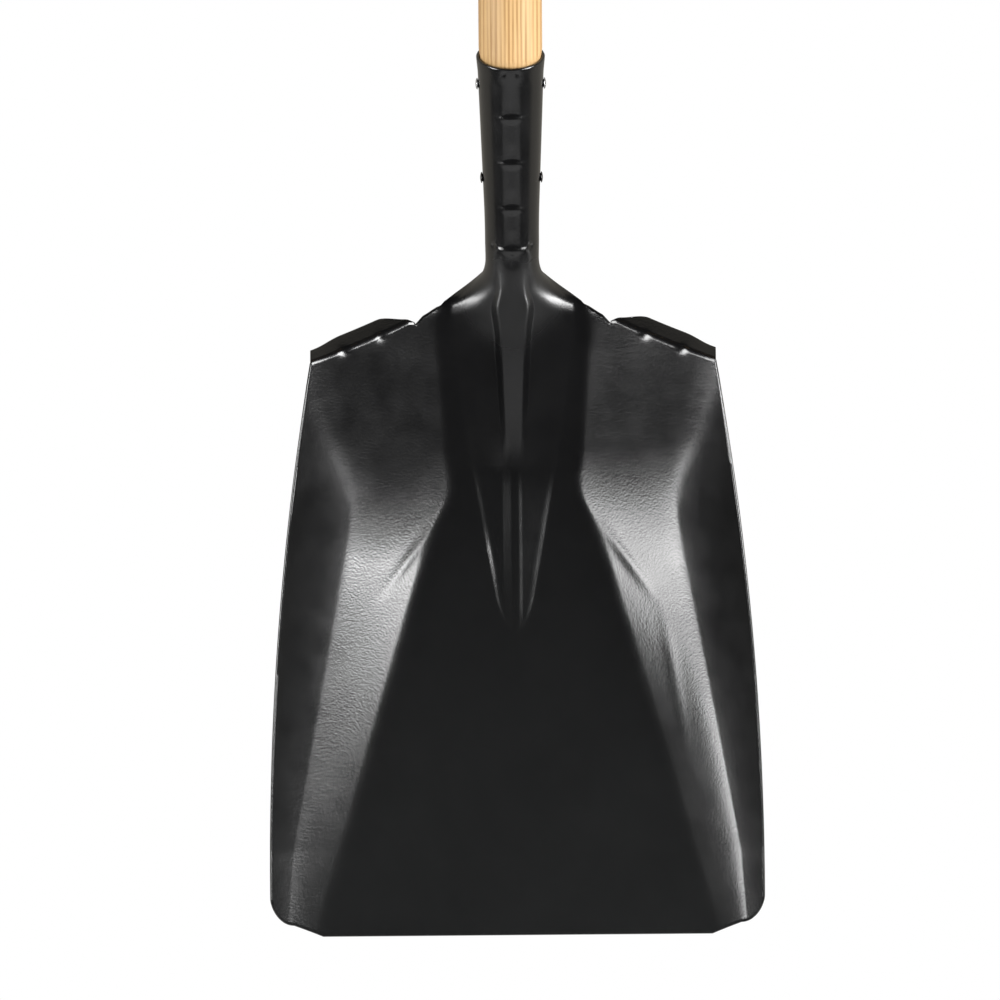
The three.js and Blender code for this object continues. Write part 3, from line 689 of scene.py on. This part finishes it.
def plate_relief(row):
    """Faint stamping creases in the panels, and the dimples pressed back where the steps begin."""
    u, v = row[:, 0], row[:, 2]
    creases = sum(depth * ripple(u, v, start, end, width) for start, end, width, depth in PANEL_CREASES)
    dimples = np.zeros(len(u))
    for place in DIMPLES_U:
        above = v - shoulder_line(place) - DIMPLE_RISE
        dimples += hump(np.abs(u) - place, above, DIMPLE_HALF_WIDTH, DIMPLE_HALF_HEIGHT)
    return creases - DIMPLE_DEPTH * dimples


def pressed(rows):
    """Rows of the plate, each with its relief."""
    return [(points, plate_relief(points)) for points in rows]


def groove_depth(s):
    """How deep the front groove is at s: it stops at each bar, and is deepest just above one."""
    above_bar = min((s - bar for bar, _, _ in SOCKET_BARS if s >= bar), default=SOCKET_LENGTH)
    below_bar = min((bar - s for bar, _, _ in SOCKET_BARS if s < bar), default=SOCKET_LENGTH)
    depth = lerp(1, GROOVE_SHALLOW_SHARE, smoothstep(above_bar, *GROOVE_SHALLOW_ABOVE_BAR))
    depth = depth * smoothstep(above_bar, *GROOVE_FADE_ABOVE_BAR)
    depth = depth * smoothstep(below_bar, *GROOVE_FADE_BELOW_BAR)
    depth = depth * smoothstep(s, *GROOVE_FADE_AT_NECK) * (1 - smoothstep(s, *GROOVE_FADE_AT_MOUTH))
    return GROOVE_DEPTH * depth


def socket_bar(s, arc, bar, height, reach):
    rise, fall = (smoothstep(s - bar, *stretch) for stretch in (BAR_RISE, BAR_FALL))
    return height * (rise - fall) * (1 - smoothstep(arc, reach - BAR_END_SOFT, reach + BAR_END_SOFT))


def socket_relief(s, columns):
    """The front groove, its bars and the dents beside it, forward of the round tube."""
    arc = np.abs(socket_radius(s) * tube_angle(columns))
    across = np.sqrt((arc / GROOVE_REACH) ** 2 + GROOVE_ROUNDING)
    groove = -groove_depth(s) * np.clip(GROOVE_RIM - across, 0, 1)
    bars = sum(socket_bar(s, arc, *bar) for bar in SOCKET_BARS)
    dents = sum(height * hump(arc - place, s - at, half_arc, half_s)
                for place, at, half_arc, half_s, height in SOCKET_DENTS)
    return groove + bars + dents


def plate_rows():
    """Rows from the cutting edge up to the shoulders, a little closer together near the shoulders."""
    columns = np.arange(-HALF_COLUMNS, HALF_COLUMNS + 1)
    bottom = tip_line(np.abs(column_u(columns, np.zeros(len(columns)))))
    at_shoulder = np.abs(column_u(columns, np.full(len(columns), SHOULDER_OUTER_V)))
    in_frog = np.abs(columns) <= FROG_BANDS
    top = np.where(in_frog, SHOULDER_INNER_V, shoulder_line(at_shoulder))
    shares = [1 - (1 - row / PLATE_ROWS) ** PLATE_ROW_CROWDING for row in range(PLATE_ROWS + 1)]
    return pressed([plate_row(columns, lerp(bottom, top, share)) for share in shares])


def socket_rows():
    """Rows above the plate between the shoulders: first flat, then rolled round, then the tube's."""
    frog = np.arange(-FROG_BANDS, FROG_BANDS + 1)
    no_relief = np.zeros(len(frog))
    heights = np.linspace(SHOULDER_INNER_V, NECK_ROLL_V, FLAT_NECK_ROWS + 1)[1:]
    rows = [(plate_row(frog, np.full(len(frog), v)), no_relief) for v in heights]
    roll_start = (NECK_ROLL_V - NECK_AXIS_V) / math.cos(LIFT) + SOCKET_RADIUS * math.tan(LIFT)
    for row in range(1, ROLL_ROWS + 1):
        share = row / ROLL_ROWS
        roll = float(smoothstep(share, -ROLL_HEAD_START, 1))
        rows.append((rolled_row(lerp(roll_start, FULL_TUBE_S, share), roll), no_relief))
    for s in np.linspace(FULL_TUBE_S, SOCKET_LENGTH, TUBE_ROWS + 1)[1:]:
        rows.append((rolled_row(s, 1), socket_relief(s, frog)))
    return rows


def scoop_sheet():
    """The plate, the neck and socket above its middle, and a step above each shoulder."""
    sheet = Sheet()
    first, *others = plate_rows()
    plate = sheet.extend(sheet.add_row(*first), others)
    shoulder = plate[-1]
    left, right = HALF_COLUMNS - FROG_BANDS, HALF_COLUMNS + FROG_BANDS
    neck = [row[left:right + 1] for row in plate[-NECK_PLATE_ROWS:]]
    neck += sheet.extend(neck[-1], socket_rows())
    ease_neck(sheet, neck[:NECK_PLATE_ROWS + NECK_EASE_ROWS])
    for side, lower in ((-1, shoulder[:left + 1]), (1, shoulder[right:])):
        feet = np.array([sheet.points[i] for i in lower])
        sheet.extend(lower, pressed([step_points(feet, share, side) for share in STEP_SHARES]))
    return sheet


def ease_neck(sheet, rows):
    """Smooths the neck along the handle, and across it too outside the ridge, up to the block's borders."""
    points = np.array(sheet.points)
    block = np.array([points[row] for row in rows])
    share = np.linspace(0, 1, len(rows))
    along = np.minimum(1, EASE_GROWTH_ALONG * np.minimum(share, 1 - share))[:, None]
    count = np.abs(np.arange(-FROG_BANDS, FROG_BANDS + 1))
    near_shoulder = np.where(np.arange(len(rows)) < NECK_PLATE_ROWS, 1, 0)[:, None]
    edge = lerp(1, np.clip((FROG_BANDS - count) / EASE_EDGE_COLUMNS, 0, 1), near_shoulder)
    weight = (EASE_STRENGTH * along * edge)[1:-1, 1:-1, None]
    ridge_edge = BAND_COLUMNS[0] + EASE_RIDGE_COLUMNS
    flanks = np.clip((count - ridge_edge) / EASE_FLANK_COLUMNS, 0, 1)[None, 1:-1, None]
    for _ in range(EASE_PASSES):
        lengthwise = (block[:-2, 1:-1] + block[2:, 1:-1]) / 2 - block[1:-1, 1:-1]
        crosswise = (block[1:-1, :-2] + block[1:-1, 2:]) / 2 - block[1:-1, 1:-1]
        block[1:-1, 1:-1] += weight * lerp(lengthwise, (lengthwise + crosswise) / 2, flanks)
    for row, eased in zip(rows, block):
        for i, point in zip(row, eased):
            sheet.points[i] = point


def scoop_to_world():
    """From the scoop's flat frame in millimetres to the row frame in metres."""
    turn = Matrix.Rotation(-LIFT, 4, "X")
    neck = turn @ Vector(axis_point(0))
    shift = Matrix.Translation(Vector((0, -neck.y, NECK_Z - neck.z)))
    return Matrix.Scale(MM, 4) @ shift @ turn


def make_scoop(material):
    mesh = scoop_sheet().mesh("scoop", SHEET)
    mesh.transform(scoop_to_world())
    new_piece("scoop", mesh, material, "blade_socket")


# ---- Materials ----


def node_material(name):
    material = bpy.data.materials.new(name)
    material.use_nodes = True
    tree = material.node_tree
    return material, tree, tree.nodes["Principled BSDF"]


def add_node(tree, kind, values=None, links=None):
    """A new node with its inputs set: values are constants, links are other nodes' output sockets."""
    node = tree.nodes.new(kind)
    for name, value in (values or {}).items():
        node.inputs[name].default_value = value
    for name, socket in (links or {}).items():
        tree.links.new(socket, node.inputs[name])
    return node


def object_place(tree, stretch=(1, 1, 1)):
    """The piece's own coordinates, stretched along its axes."""
    place = add_node(tree, "ShaderNodeTexCoord")
    mapping = add_node(tree, "ShaderNodeMapping", {"Scale": stretch}, {"Vector": place.outputs["Object"]})
    return mapping.outputs["Vector"]


def noise(tree, place, scale, detail):
    values = {"Scale": scale, "Detail": detail}
    return add_node(tree, "ShaderNodeTexNoise", values, {"Vector": place}).outputs["Fac"]


def remap(tree, value, low, high, to_low, to_high):
    values = {"From Min": low, "From Max": high, "To Min": to_low, "To Max": to_high}
    return add_node(tree, "ShaderNodeMapRange", values, {"Value": value}).outputs["Result"]


def blend(tree, share, first, second):
    """A colour share of the way from the first to the second, each a constant or a socket."""
    mix = add_node(tree, "ShaderNodeMix")
    mix.data_type = "RGBA"
    tree.links.new(share, mix.inputs["Factor"])
    for name, colour in (("A", first), ("B", second)):
        if isinstance(colour, tuple):
            mix.inputs[name].default_value = (*colour, 1)
        else:
            tree.links.new(colour, mix.inputs[name])
    return mix.outputs["Result"]


def finish(tree, shader, colour, roughness, height, depth, strength):
    """Gives the surface its colour, its roughness and fine bumps of this depth in metres."""
    bumps = add_node(tree, "ShaderNodeBump", {"Strength": strength, "Distance": depth}, {"Height": height})
    links = {"Base Color": colour, "Roughness": roughness, "Normal": bumps.outputs["Normal"]}
    for name, socket in links.items():
        tree.links.new(socket, shader.inputs[name])


def arithmetic(tree, operation, *terms):
    """A calculation with terms that are sockets or constants."""
    constants = {i: term for i, term in enumerate(terms) if isinstance(term, float)}
    sockets = {i: term for i, term in enumerate(terms) if i not in constants}
    node = add_node(tree, "ShaderNodeMath", constants, sockets)
    node.operation = operation
    return node.outputs[0]


def enamel_colour(tree, place):
    """Painted light: a little lighter from partway down the scoop to its tip, in clouds. The lighter tone
    stands in for light falling on the tip from below; it is not wear.
    """
    tip, neck = cad_box[0].z, NECK_Z * MM
    height = add_node(tree, "ShaderNodeSeparateXYZ", links={"Vector": place}).outputs["Z"]
    # Painted light: the mask for the painted brightening toward the tip.
    painted_tip_light = remap(tree, height, lerp(tip, neck, LIT_TIP_SHARE), tip, 0, 1)
    clouds = remap(tree, noise(tree, place, CLOUDS_PER_METRE, 4), 0.35, 0.65, 0.85, 1.15)
    return blend(tree, arithmetic(tree, "MULTIPLY", painted_tip_light, clouds), ENAMEL, LIT_TIP_ENAMEL)


def enamel_roughness(tree, place):
    """Speckled all over, and rougher in a disc in front of the neck."""
    values = {"Location": (0, 0, DULL_BELOW_NECK - NECK_Z * MM), "Scale": (1, 0, 1)}
    from_disc = add_node(tree, "ShaderNodeMapping", values, {"Vector": place})
    distance = add_node(tree, "ShaderNodeVectorMath", links={0: from_disc.outputs["Vector"]})
    distance.operation = "LENGTH"
    dull = remap(tree, distance.outputs["Value"], DULL_WHOLE, DULL_GONE, 1, 0)
    dull.node.interpolation_type = "SMOOTHSTEP"
    speckle = remap(tree, noise(tree, place, SPECKLES_PER_METRE, 3), 0.3, 0.7, 0.185, 0.225)
    return arithmetic(tree, "MULTIPLY_ADD", dull, DULL_ROUGHER, speckle)


def paint_material():
    """Black baked enamel with fine orange peel."""
    material, tree, shader = node_material("black_enamel")
    place = object_place(tree)
    shader.inputs["IOR"].default_value = ENAMEL_IOR
    peel = noise(tree, place, PEEL_PER_METRE, 2)
    finish(tree, shader, enamel_colour(tree, place), enamel_roughness(tree, place), peel, *PEEL)
    return material


def along_grain(tree, grain_axis, stretch):
    return object_place(tree, tuple(stretch if axis == grain_axis else 1 for axis in range(3)))


def growth_bands(tree, grain_axis):
    values = {"Scale": 130.0, "Distortion": 5.0, "Detail": 2.0, "Detail Scale": 0.35}
    place = along_grain(tree, grain_axis, BAND_STRETCH)
    bands_node = add_node(tree, "ShaderNodeTexWave", values, {"Vector": place})
    bands_node.bands_direction = "X" if grain_axis == 2 else "Y"
    return bands_node.outputs["Fac"]


def ash_material(name, grain_axis):
    """Lacquered ash with its grain along one axis of the piece: growth bands, fine fibres and dark pores."""
    material, tree, shader = node_material(name)
    fibre = along_grain(tree, grain_axis, FIBRE_STRETCH)
    streaks = noise(tree, fibre, STREAKS_PER_METRE, 3)
    marks = [(streaks, 0.42, 0.62, 0.6, PALE_FIBRE),
             (noise(tree, fibre, PATCHES_PER_METRE, 2), 0.35, 0.65, 0.35, BROWN_PATCH),
             (noise(tree, fibre, PORES_PER_METRE, 2), 0.60, 0.72, 0.35, DARK_PORE)]
    wood = blend(tree, remap(tree, growth_bands(tree, grain_axis), 0.2, 0.9, 0, 1), EARLY_WOOD, LATE_WOOD)
    for mark, low, high, strongest, colour in marks:
        wood = blend(tree, remap(tree, mark, low, high, 0, strongest), wood, colour)
    finish(tree, shader, wood, remap(tree, streaks, 0.2, 0.8, 0.36, 0.48), streaks, *STREAKS)
    return material


def steel_material():
    """Bright zinc-plated steel with a fine grain, slightly dulled in spots."""
    material, tree, shader = node_material("bright_steel")
    place = object_place(tree)
    spots = noise(tree, place, SPOTS_PER_METRE, 3)
    shader.inputs["Metallic"].default_value = 1
    colour = blend(tree, spots, DULL_STEEL, CLEAN_STEEL)
    grain = noise(tree, place, GRAIN_PER_METRE, 2)
    finish(tree, shader, colour, remap(tree, spots, 0.3, 0.7, 0.22, 0.42), grain, *GRAIN)
    return material


# ---- Turned pieces and the grip ----

AXES = {"x": Matrix(((0, 0, 1), (1, 0, 0), (0, 1, 0))).to_4x4(),
        "y": Matrix(((1, 0, 0), (0, 0, 1), (0, -1, 0))).to_4x4(),
        "z": Matrix.Identity(4)}


def toward(start, end, reach):
    return start + (end - start) / np.linalg.norm(end - start) * reach


def rounded(profile, radius):
    """The profile with each inner corner replaced by a curve that takes less than half of each side."""
    points = [np.array(point, dtype=float) for point in profile]
    curve = [points[0]]
    for before, corner, after in zip(points, points[1:], points[2:]):
        shorter = min(np.linalg.norm(corner - before), np.linalg.norm(after - corner))
        reach = min(radius, shorter / SIDES_PER_CORNER)
        start, end = toward(corner, before, reach), toward(corner, after, reach)
        for t in np.arange(CORNER_STEPS + 1) / CORNER_STEPS:
            curve.append((1 - t) ** 2 * start + 2 * t * (1 - t) * corner + t * t * end)
    return curve + [points[-1]]


def turned_piece(name, node, profile, axis, centre, material, segments):
    """A profile of (radius, height) pairs turned about an axis; where the radius is 0 it is one point."""
    verts, faces, rings = [], [], []
    for radius, height in profile:
        if radius < 1e-6:
            rings.append([len(verts)] * segments)
            verts.append((0, 0, height))
            continue
        rings.append(list(range(len(verts), len(verts) + segments)))
        for step in range(segments):
            angle = 2 * math.pi * step / segments
            verts.append((radius * math.cos(angle), radius * math.sin(angle), height))
    for lower, upper in zip(rings, rings[1:]):
        for step in range(segments):
            after = (step + 1) % segments
            corners = [lower[step], lower[after], upper[after], upper[step]]
            faces.append(tuple(dict.fromkeys(corners)))
    mesh = smooth_mesh(name, verts, faces)
    mesh.transform(Matrix.Scale(MM, 4) @ Matrix.Translation(centre) @ AXES[axis])
    new_piece(name, mesh, material, node)


def seat_radius(s):
    """The radius that fits in the socket at s."""
    return float(socket_radius(s)) - SHEET - FIT_GAP


def make_shaft(material):
    """The handle's wood: a rounded foot, a slimmer stretch in the socket, and a taper up to the ferrule."""
    foot = [(radius, NECK_Z + rise) for radius, rise in SHAFT_FOOT]
    slim = [(seat_radius(s) - SHAFT_SLIMMER, NECK_Z + s) for s in SHAFT_SLIM_S]
    seat = [(seat_radius(s), NECK_Z + s) for s in SHAFT_SEAT_S]
    above_socket = NECK_Z + SOCKET_LENGTH + SHAFT_SHOULDER_LENGTH
    taper_end = FERRULE_BOTTOM - TAPER_TO_FERRULE
    profile = [*foot, *slim, *seat,
               (SHAFT_RADIUS, above_socket), (SHAFT_RADIUS, taper_end - SHAFT_TAPER_LENGTH),
               (SHAFT_TOP_RADIUS, taper_end), (SHAFT_TOP_RADIUS, SHAFT_END_Z - SHAFT_END_ROUNDING),
               (SHAFT_TOP_RADIUS - SHAFT_END_ROUNDING, SHAFT_END_Z), (0, SHAFT_END_Z)]
    turned_piece("ash_shaft", "shaft", rounded(profile, SHAFT_CORNER), "z", (0, 0, 0), material,
                 WOOD_SEGMENTS)


def make_crossbar(material):
    """A barrel-shaped bar, bored for the rod, between the grip's ears."""
    half = EAR_X - FIT_GAP
    bore = GRIP_ROD_RADIUS + FIT_GAP
    end_radius = BAR_END_RADIUS - BAR_END_CHAMFER
    barrel = [(lerp(BAR_END_RADIUS, BAR_RADIUS, math.cos(share * math.pi / 2)), share * half)
              for share in np.linspace(-BARREL_SHARE, BARREL_SHARE, 25)]
    profile = [(bore, -half), (end_radius, -half), *barrel, (end_radius, half), (bore, half)]
    closed = rounded(profile, BAR_CORNER) + [(bore, -half)]
    turned_piece("ash_crossbar", "grip_crossbar", closed, "x", (0, 0, BAR_RADIUS), material,
                 WOOD_SEGMENTS)


def rivet_profile(half_length, radius, head_radius, dome):
    """A shank with a domed head at both ends, each with a thin rounded edge."""
    turns = np.linspace(math.pi / 2 - HEAD_FLAT_TOP, 0, 9)
    edge_height, edge_radius = half_length + HEAD_EDGE, head_radius - HEAD_EDGE_INSET
    upper = [(head_radius * math.sin(turn), edge_height + (dome - HEAD_EDGE) * math.cos(turn))
             for turn in turns]
    lower = [(r, -height) for r, height in reversed(upper)]
    shank = [(edge_radius, -half_length), (radius, -half_length),
             (radius, half_length), (edge_radius, half_length)]
    return [(0, lower[0][1])] + lower[1:] + shank + upper[:-1] + [(0, upper[-1][1])]


def make_rivet(name, node, axis, centre, half_length, head, material, radius=RIVET_RADIUS):
    """A rivet through centre along an axis; head is its radius and the height of its dome."""
    profile = rivet_profile(half_length, radius, *head)
    turned_piece(name, node, profile, axis, centre, material, RIVET_SEGMENTS)


def make_washer(name, node, x, material):
    bore, half = GRIP_ROD_RADIUS + FIT_GAP, WASHER_THICKNESS / 2
    outline = [(bore, -half), (WASHER_RADIUS, -half), (WASHER_RADIUS, half), (bore, half), (bore, -half)]
    profile = rounded(outline, WASHER_ROUNDING)
    turned_piece(name, node, profile, "x", (x, 0, BAR_RADIUS), material,
                 WASHER_SEGMENTS)


def eased(height, between):
    """From 0 at the lower height to 1 at the upper one."""
    return float(smoothstep(height, *between))


def arm_path(height):
    """How far from the handle's axis the middle of an arm is."""
    return lerp(YOKE_RADIUS, EAR_X + YOKE_SHEET / 2, eased(height, ARM_SPREAD_Z))


def arm_half_width(height):
    over_ear = max(0.0, height - BAR_RADIUS)
    ear = math.sqrt(max(0.0, EAR_RADIUS ** 2 - over_ear ** 2))
    at_ferrule = YOKE_RADIUS * math.sin(ARM_TURN)
    waist = lerp(at_ferrule, ARM_WAIST, eased(height, ARM_WAIST_Z))
    return lerp(waist, ear, eased(height, EAR_WIDENING_Z))


def arm_row(side, height):
    """One row of an arm, curved round the handle at the ferrule and flattening toward the ear."""
    turn = lerp(ARM_TURN, EAR_TURN, eased(height, EAR_FLAT_Z))
    radius = arm_half_width(height) / math.sin(turn)
    lean = math.atan(arm_path(height + 0.5) - arm_path(height - 0.5))
    angle = turn * np.linspace(-1, 1, ARM_COLUMNS + 1)
    inward = radius * (1 - np.cos(angle))
    x = arm_path(height) - inward * math.cos(lean)
    y = radius * np.sin(angle)
    z = height + inward * math.sin(lean)
    return np.stack([side * x, side * y, z], axis=1)


def ferrule_row(height):
    arm = np.linspace(-ARM_TURN, ARM_TURN, ARM_COLUMNS + 1)
    gap = np.linspace(ARM_TURN, math.pi - ARM_TURN, GAP_COLUMNS + 1)[1:-1]
    half = np.concatenate([arm, gap])
    angle = np.concatenate([half, half + math.pi])
    across, forward = YOKE_RADIUS * np.cos(angle), YOKE_RADIUS * np.sin(angle)
    return np.stack([across, forward, np.full(len(angle), height)], axis=1)


def add_ferrule(sheet):
    """The closed ring of sheet round the handle; its top row is returned."""
    lower = None
    for height in np.linspace(FERRULE_BOTTOM, FERRULE_TOP, FERRULE_ROWS):
        upper = sheet.add_row(ferrule_row(height))
        upper = np.append(upper, upper[0])
        if lower is not None:
            sheet.join(lower, upper)
        lower = upper
    return lower


def make_yoke(material):
    """The grip's ferrule, and an arm to each side of it that ends in a round ear."""
    sheet = Sheet()
    ferrule_top = add_ferrule(sheet)
    over_ear = BAR_RADIUS + EAR_RADIUS * np.sin(np.linspace(0, EAR_LAST_TURN, EAR_ROWS + 1))[1:]
    heights = np.concatenate([np.linspace(FERRULE_TOP, BAR_RADIUS, ARM_ROWS + 1)[1:], over_ear])
    for side, first in ((1, 0), (-1, ARM_COLUMNS + GAP_COLUMNS)):
        foot = ferrule_top[first:first + ARM_COLUMNS + 1]
        sheet.extend(foot, [(arm_row(side, height), None) for height in heights])
    mesh = sheet.mesh("grip_yoke_sheet", YOKE_SHEET)
    mesh.transform(Matrix.Scale(MM, 4))
    new_piece("grip_yoke_sheet", mesh, material, "grip_yoke")


def make_rivets(enamel, steel):
    """The bright rivet and the painted one through the socket, and two rivets through the ferrule."""
    for name, material, slot in (("upper", steel, "bright_steel"), ("lower", enamel, "painted_steel")):
        s = SOCKET_RIVETS_S[name]
        half = float(socket_radius(s)) + FIT_GAP
        make_rivet("socket_rivet_head_" + name, "socket_rivet_" + name, "x", (0, 0, NECK_Z + s),
                   half, SOCKET_HEADS[name], material)
    for name, z in YOKE_RIVETS_Z.items():
        make_rivet("yoke_rivet_head_" + name, "yoke_rivet_" + name, "y", (0, 0, z),
                   FERRULE_RADIUS + FIT_GAP, YOKE_HEAD, steel)


def make_grip_rod(steel):
    """The rod through the ears and the crossbar, with a washer under each of its heads."""
    ear_outer = EAR_X + YOKE_SHEET
    rod_half = ear_outer + 2 * FIT_GAP + WASHER_THICKNESS
    make_rivet("grip_rod", "grip_rivet", "x", (0, 0, BAR_RADIUS), rod_half,
               GRIP_HEAD, steel, GRIP_ROD_RADIUS)
    for name, side in (("left", -1), ("right", 1)):
        x = side * (ear_outer + FIT_GAP + WASHER_THICKNESS / 2)
        make_washer("washer_" + name, "grip_washer_" + name, x, steel)


# ---- Stage: camera, lights, floor, surroundings ----


def direction(side_degrees, up_degrees=0.0):
    """A unit direction from the scoop, turned sideways and up from the normal of its floor."""
    normal = Vector((0, -math.cos(LIFT), math.sin(LIFT)))
    up = Vector((0, math.sin(LIFT), math.cos(LIFT)))
    side, rise = math.radians(side_degrees), math.radians(up_degrees)
    level = normal * math.cos(side) + Vector((1, 0, 0)) * math.sin(side)
    return level * math.cos(rise) + up * math.sin(rise)


def scoop_place(u, v, d):
    return scoop_to_world() @ Vector((u, -d, v))


def make_camera():
    """Straight in front of the scoop's floor, and so far off that there is almost no perspective."""
    data = bpy.data.cameras.new("camera")
    camera = bpy.data.objects.new("camera", data)
    bpy.context.scene.collection.objects.link(camera)
    camera.location = scoop_place(AIM_U, AIM_V, AIM_D) + direction(0) * CAMERA_DISTANCE
    data.lens = data.sensor_width * CAMERA_DISTANCE / VIEW_WIDTH
    data.clip_end = CAMERA_CLIP
    toward_scoop = (-direction(0)).to_track_quat("-Z", "Y")
    roll = Matrix.Rotation(CAMERA_ROLL, 4, "Z")
    camera.rotation_mode = "QUATERNION"
    camera.rotation_quaternion = (toward_scoop.to_matrix().to_4x4() @ roll).to_quaternion()
    bpy.context.scene.camera = camera


def area_light(name, place, target, width, height, radiance):
    """A lit rectangle of this radiance that faces its target, its height along the scoop's length."""
    data = bpy.data.lights.new(name, "AREA")
    data.shape = "RECTANGLE"
    data.size = width
    data.size_y = height
    data.energy = 4 * width * height * radiance
    light = bpy.data.objects.new(name, data)
    light.location = place
    light.rotation_mode = "QUATERNION"
    away = (place - target).normalized()
    upright = direction(0, 90)
    axes = Matrix((upright.cross(away), upright, away)).transposed()
    light.rotation_quaternion = axes.to_quaternion()
    light.visible_camera = False
    bpy.context.scene.collection.objects.link(light)


def make_lights():
    """Softboxes and strips beside the scoop, each parallel to its length between two heights v."""
    for name, (side_degrees, distance, width, low_v, high_v, radiance) in LIGHTS.items():
        centre = scoop_place(0, (low_v + high_v) / 2, LIGHTS_AIM_D)
        place = centre + direction(side_degrees) * distance
        area_light(name, place, centre, width, (high_v - low_v) * MM, radiance)


def split_camera_rays(tree, other_rays, camera_rays, output):
    """Shows the camera one shader and every other ray another."""
    rays = add_node(tree, "ShaderNodeLightPath")
    links = {0: rays.outputs["Is Camera Ray"], 1: other_rays.outputs[0], 2: camera_rays.outputs[0]}
    mix = add_node(tree, "ShaderNodeMixShader", links=links)
    add_node(tree, output, links={0: mix.outputs[0]})


def colour_along(tree, axis, stops):
    """A colour by the cosine of the angle between the direction and an axis."""
    place = add_node(tree, "ShaderNodeTexCoord")
    dot = add_node(tree, "ShaderNodeVectorMath", {1: axis}, {0: place.outputs["Generated"]})
    dot.operation = "DOT_PRODUCT"
    ramp = add_node(tree, "ShaderNodeValToRGB", links={0: remap(tree, dot.outputs["Value"], -1, 1, 0, 1)})
    for element, (cosine, colour) in zip(ramp.color_ramp.elements, stops):
        element.position = (cosine + 1) / 2
        element.color = (*colour, 1)
    return ramp.outputs["Color"]


def make_world():
    """White to the camera; in reflections a dark room, warm grey behind the scoop and pale below it."""
    world = bpy.data.worlds.new("studio")
    bpy.context.scene.world = world
    world.use_nodes = True
    tree = world.node_tree
    tree.nodes.clear()
    lighter = add_node(tree, "ShaderNodeMix")
    lighter.data_type = "RGBA"
    lighter.blend_type = "LIGHTEN"
    lighter.inputs["Factor"].default_value = 1
    tree.links.new(colour_along(tree, direction(0), BEHIND_SCOOP), lighter.inputs["A"])
    tree.links.new(colour_along(tree, -direction(0, 90), BELOW), lighter.inputs["B"])
    room = add_node(tree, "ShaderNodeBackground", links={"Color": lighter.outputs["Result"]})
    backdrop = add_node(tree, "ShaderNodeBackground", {"Color": WHITE})
    split_camera_rays(tree, room, backdrop, "ShaderNodeOutputWorld")


def floor_material():
    """Pure white to the camera, an ordinary white surface to other rays."""
    material = bpy.data.materials.new("floor_white")
    material.use_nodes = True
    tree = material.node_tree
    tree.nodes.clear()
    glow = add_node(tree, "ShaderNodeEmission", {"Color": WHITE})
    pale = add_node(tree, "ShaderNodeBsdfDiffuse", {"Color": FLOOR_WHITE})
    split_camera_rays(tree, pale, glow, "ShaderNodeOutputMaterial")
    return material


def make_floor():
    size = FLOOR_HALF_SIZE
    z = cad_box[0].z - FLOOR_GAP
    mesh = bpy.data.meshes.new("floor")
    corners = [(-size, -size, z), (size, -size, z), (size, size, z), (-size, size, z)]
    mesh.from_pydata(corners, [], [(0, 1, 2, 3)])
    mesh.materials.append(floor_material())
    floor = bpy.data.objects.new("floor", mesh)
    bpy.context.scene.collection.objects.link(floor)
    floor.visible_glossy = False


bpy.context.scene.view_settings.view_transform = "Standard"
make_camera()
make_world()
make_lights()
make_floor()

enamel = paint_material()
steel = steel_material()
make_scoop(enamel)
make_shaft(ash_material("ash_along_handle", 2))
make_crossbar(ash_material("ash_along_crossbar", 0))
make_yoke(enamel)
make_rivets(enamel, steel)
make_grip_rod(steel)
